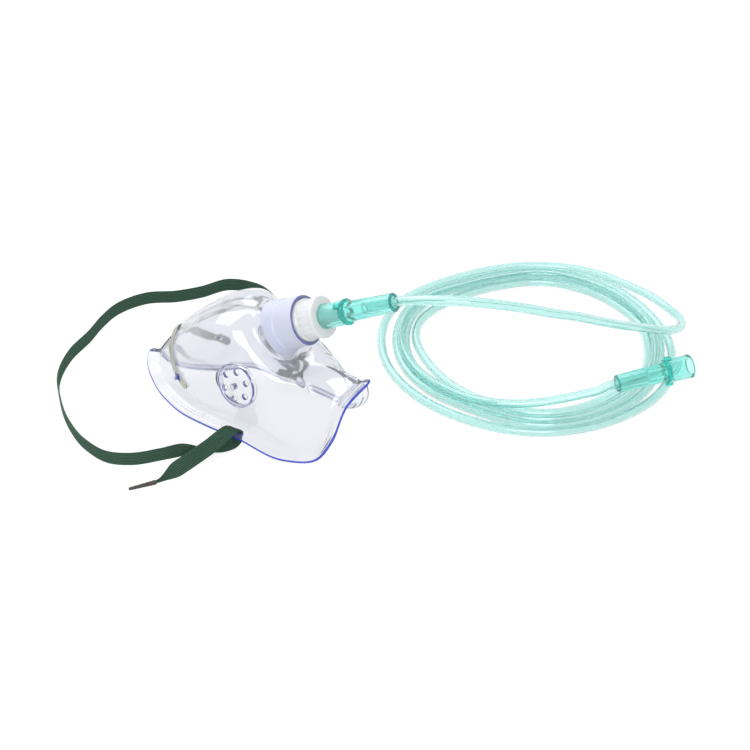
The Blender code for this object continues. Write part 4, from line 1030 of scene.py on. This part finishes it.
def build_band(name, line, part):
    """One stretch of the band's line, drawn in where it meets a tip by a smooth step, 3 s^2 - 2 s^3."""
    centre, run, width = line
    length = run_along(centre)
    share = np.clip(np.minimum(length, length[-1] - length) / (1.6 * STRAP_WIDTH), 0, 1)
    share = share * share * (3 - 2 * share)
    half_width = (STRAP_TIP_WIDTH + (STRAP_WIDTH - STRAP_TIP_WIDTH) * share) / 2
    rows, places = band_rows(centre[part], run[part], width[part], half_width[part])
    return new_piece(name, rows, [ELASTIC], uv=grid_uv(length[part], places))


def build_tip(name, end, before):
    """A crimped tip that goes on level from the band's end: a slim cone with crimps and rounded ends."""
    direction = unit((end - before) * (1, 1, 0))
    start = end + direction * 0.1 * MM
    start[2] = AGLET_R + CLEARANCE
    s = np.linspace(0, 1, 57)
    radius = AGLET_R + (AGLET_TIP_R - AGLET_R) * s + 0.05 * MM * np.cos(2 * math.pi * AGLET_CRIMPS * s)
    radius = radius * np.sqrt(np.clip(1 - np.abs(2 * s - 1) ** 60, 0.3, 1))
    profile = np.stack([radius, s * AGLET_LENGTH], axis=-1)
    rows = lathe(profile, start, basis(direction, (0, 0, 1)), AGLET_COLUMNS)
    uv = grid_uv(s * AGLET_LENGTH, np.linspace(0, 2 * math.pi * AGLET_R, AGLET_COLUMNS + 1))
    return new_piece(name, rows, [STRAP_TIP], uv=uv)


# Making the pieces

def moved(obj):
    """Shift a piece's mesh from the datum's frame into the model's frame."""
    points = np.empty(len(obj.data.vertices) * 3, np.float32)
    obj.data.vertices.foreach_get("co", points)
    points = points.reshape(-1, 3) + DATUM.astype(np.float32)
    obj.data.vertices.foreach_set("co", points.ravel())
    obj.data.update()


shell = build_shell()
add_shell_features(shell)
moved(shell)
finish_piece(shell, ["mask_shell"])

clip = build_clip()
moved(clip)
finish_piece(clip, ["nose_clip"])

adapter = build_adapter()
moved(adapter)
finish_piece(adapter, ["port_adapter"])

mask_mouth = PORT_MOUTH + DATUM + PORT_AXIS * (ADAPTER_END + CLEARANCE)
mask_end = mask_mouth + PORT_AXIS * FUNNEL_LENGTH
mask_funnel = build_funnel("mask_funnel_connector", mask_mouth, mask_end, math.radians(34.0))
finish_piece(mask_funnel, ["mask_funnel"])

source_mouth = placed(SOURCE_MOUTH)
source_axis = unit(placed(SOURCE_NARROW_END) - source_mouth)
source_end = source_mouth + source_axis * FUNNEL_LENGTH
source_funnel = build_funnel("source_funnel_connector", source_mouth, source_end, math.radians(20.0))
finish_piece(source_funnel, ["source_funnel"])

tube_path = tube_route(mask_end, PORT_AXIS, source_end, source_axis)
tube = build_tube(tube_path)
finish_piece(tube, ["tube_lead", "tube_coil", "tube_tail"], 60.0)

centre, run, width, near_slot = strap_line()
line = (centre, run, width)
near_tip = build_tip("strap_tip_near_film", centre[0], centre[1])
finish_piece(near_tip, ["strap_tip_near"])
far_tip = build_tip("strap_tip_far_film", centre[-1], centre[-2])
finish_piece(far_tip, ["strap_tip_far"])
near_part = slice(0, near_slot + 1)
loop_part = slice(near_slot, len(centre))
near_tail = build_band("head_strap_near_tail", line, near_part)
loop = build_band("head_strap_loop", line, loop_part)
for band in (near_tail, loop):
    finish_piece(band, ["head_strap"], 80.0)


# Table, lights and surroundings

def seen_directly(tree):
    """1 on camera, glossy and transmission rays, which see plain white surroundings, and 0 on the rest."""
    path = add_node(tree, "ShaderNodeLightPath")
    seen = path.outputs["Is Camera Ray"]
    for ray in ("Is Glossy Ray", "Is Transmission Ray"):
        links = {0: seen, 1: path.outputs[ray]}
        seen = add_node(tree, "ShaderNodeMath", links=links, operation="MAXIMUM").outputs[0]
    return seen


def pale_table():
    """Pale painted board: white where it is seen directly, with the soft shadow of the object kept."""
    material = bpy.data.materials.new("pale_board_painted")
    material.use_nodes = True
    tree = material.node_tree
    tree.nodes.clear()
    board = add_node(tree, "ShaderNodeBsdfDiffuse", {"Color": linear("#E6E6E6")}).outputs[0]
    faint = add_node(tree, "ShaderNodeBsdfDiffuse", {"Color": (0.22, 0.22, 0.22, 1.0)}).outputs[0]
    glow = add_node(tree, "ShaderNodeEmission", {"Strength": 0.84}).outputs[0]
    white = add_node(tree, "ShaderNodeAddShader", links={0: faint, 1: glow}).outputs[0]
    mix = add_node(tree, "ShaderNodeMixShader", links={"Fac": seen_directly(tree), 1: board, 2: white})
    add_node(tree, "ShaderNodeOutputMaterial", links={"Surface": mix.outputs[0]})
    return material


table_mesh = bpy.data.meshes.new("table")
reach = 4.0
corners = [(-reach, -reach, 0), (reach, -reach, 0), (reach, reach, 0), (-reach, reach, 0)]
table_mesh.from_pydata(corners, [], [(0, 1, 2, 3)])
table_mesh.materials.append(pale_table())
table = linked("table", table_mesh)
table.location.z = -0.2 * MM


def studio_world():
    """Even fill light, three quarters as strong as the white that is seen directly."""
    world = bpy.data.worlds.new("studio")
    world.use_nodes = True
    tree = world.node_tree
    tree.nodes.clear()
    shades = []
    for strength in (0.75, 1.0):
        values = {"Color": (1.0, 1.0, 1.0, 1.0), "Strength": strength}
        shades.append(add_node(tree, "ShaderNodeBackground", values).outputs[0])
    links = {"Fac": seen_directly(tree), 1: shades[0], 2: shades[1]}
    mix = add_node(tree, "ShaderNodeMixShader", links=links)
    add_node(tree, "ShaderNodeOutputWorld", links={"Surface": mix.outputs[0]})
    return world


bpy.context.scene.world = studio_world()


def softbox(name, location, target, size, power):
    """A square soft light aimed at a point."""
    data = bpy.data.lights.new(name, "AREA")
    data.shape = "SQUARE"
    data.size = size
    data.energy = power
    lamp = linked(name, data)
    lamp.location = location
    lamp.rotation_euler = (Vector(target) - Vector(location)).to_track_quat("-Z", "Y").to_euler()


softbox("key_softbox", (-0.55, 0.35, 0.9), (0.0, 0.03, 0.0), 1.0, 8.0)
softbox("front_softbox", (0.5, -0.75, 0.75), (0.05, 0.03, 0.0), 0.6, 5.0)

bpy.context.scene.view_settings.view_transform = "Standard"
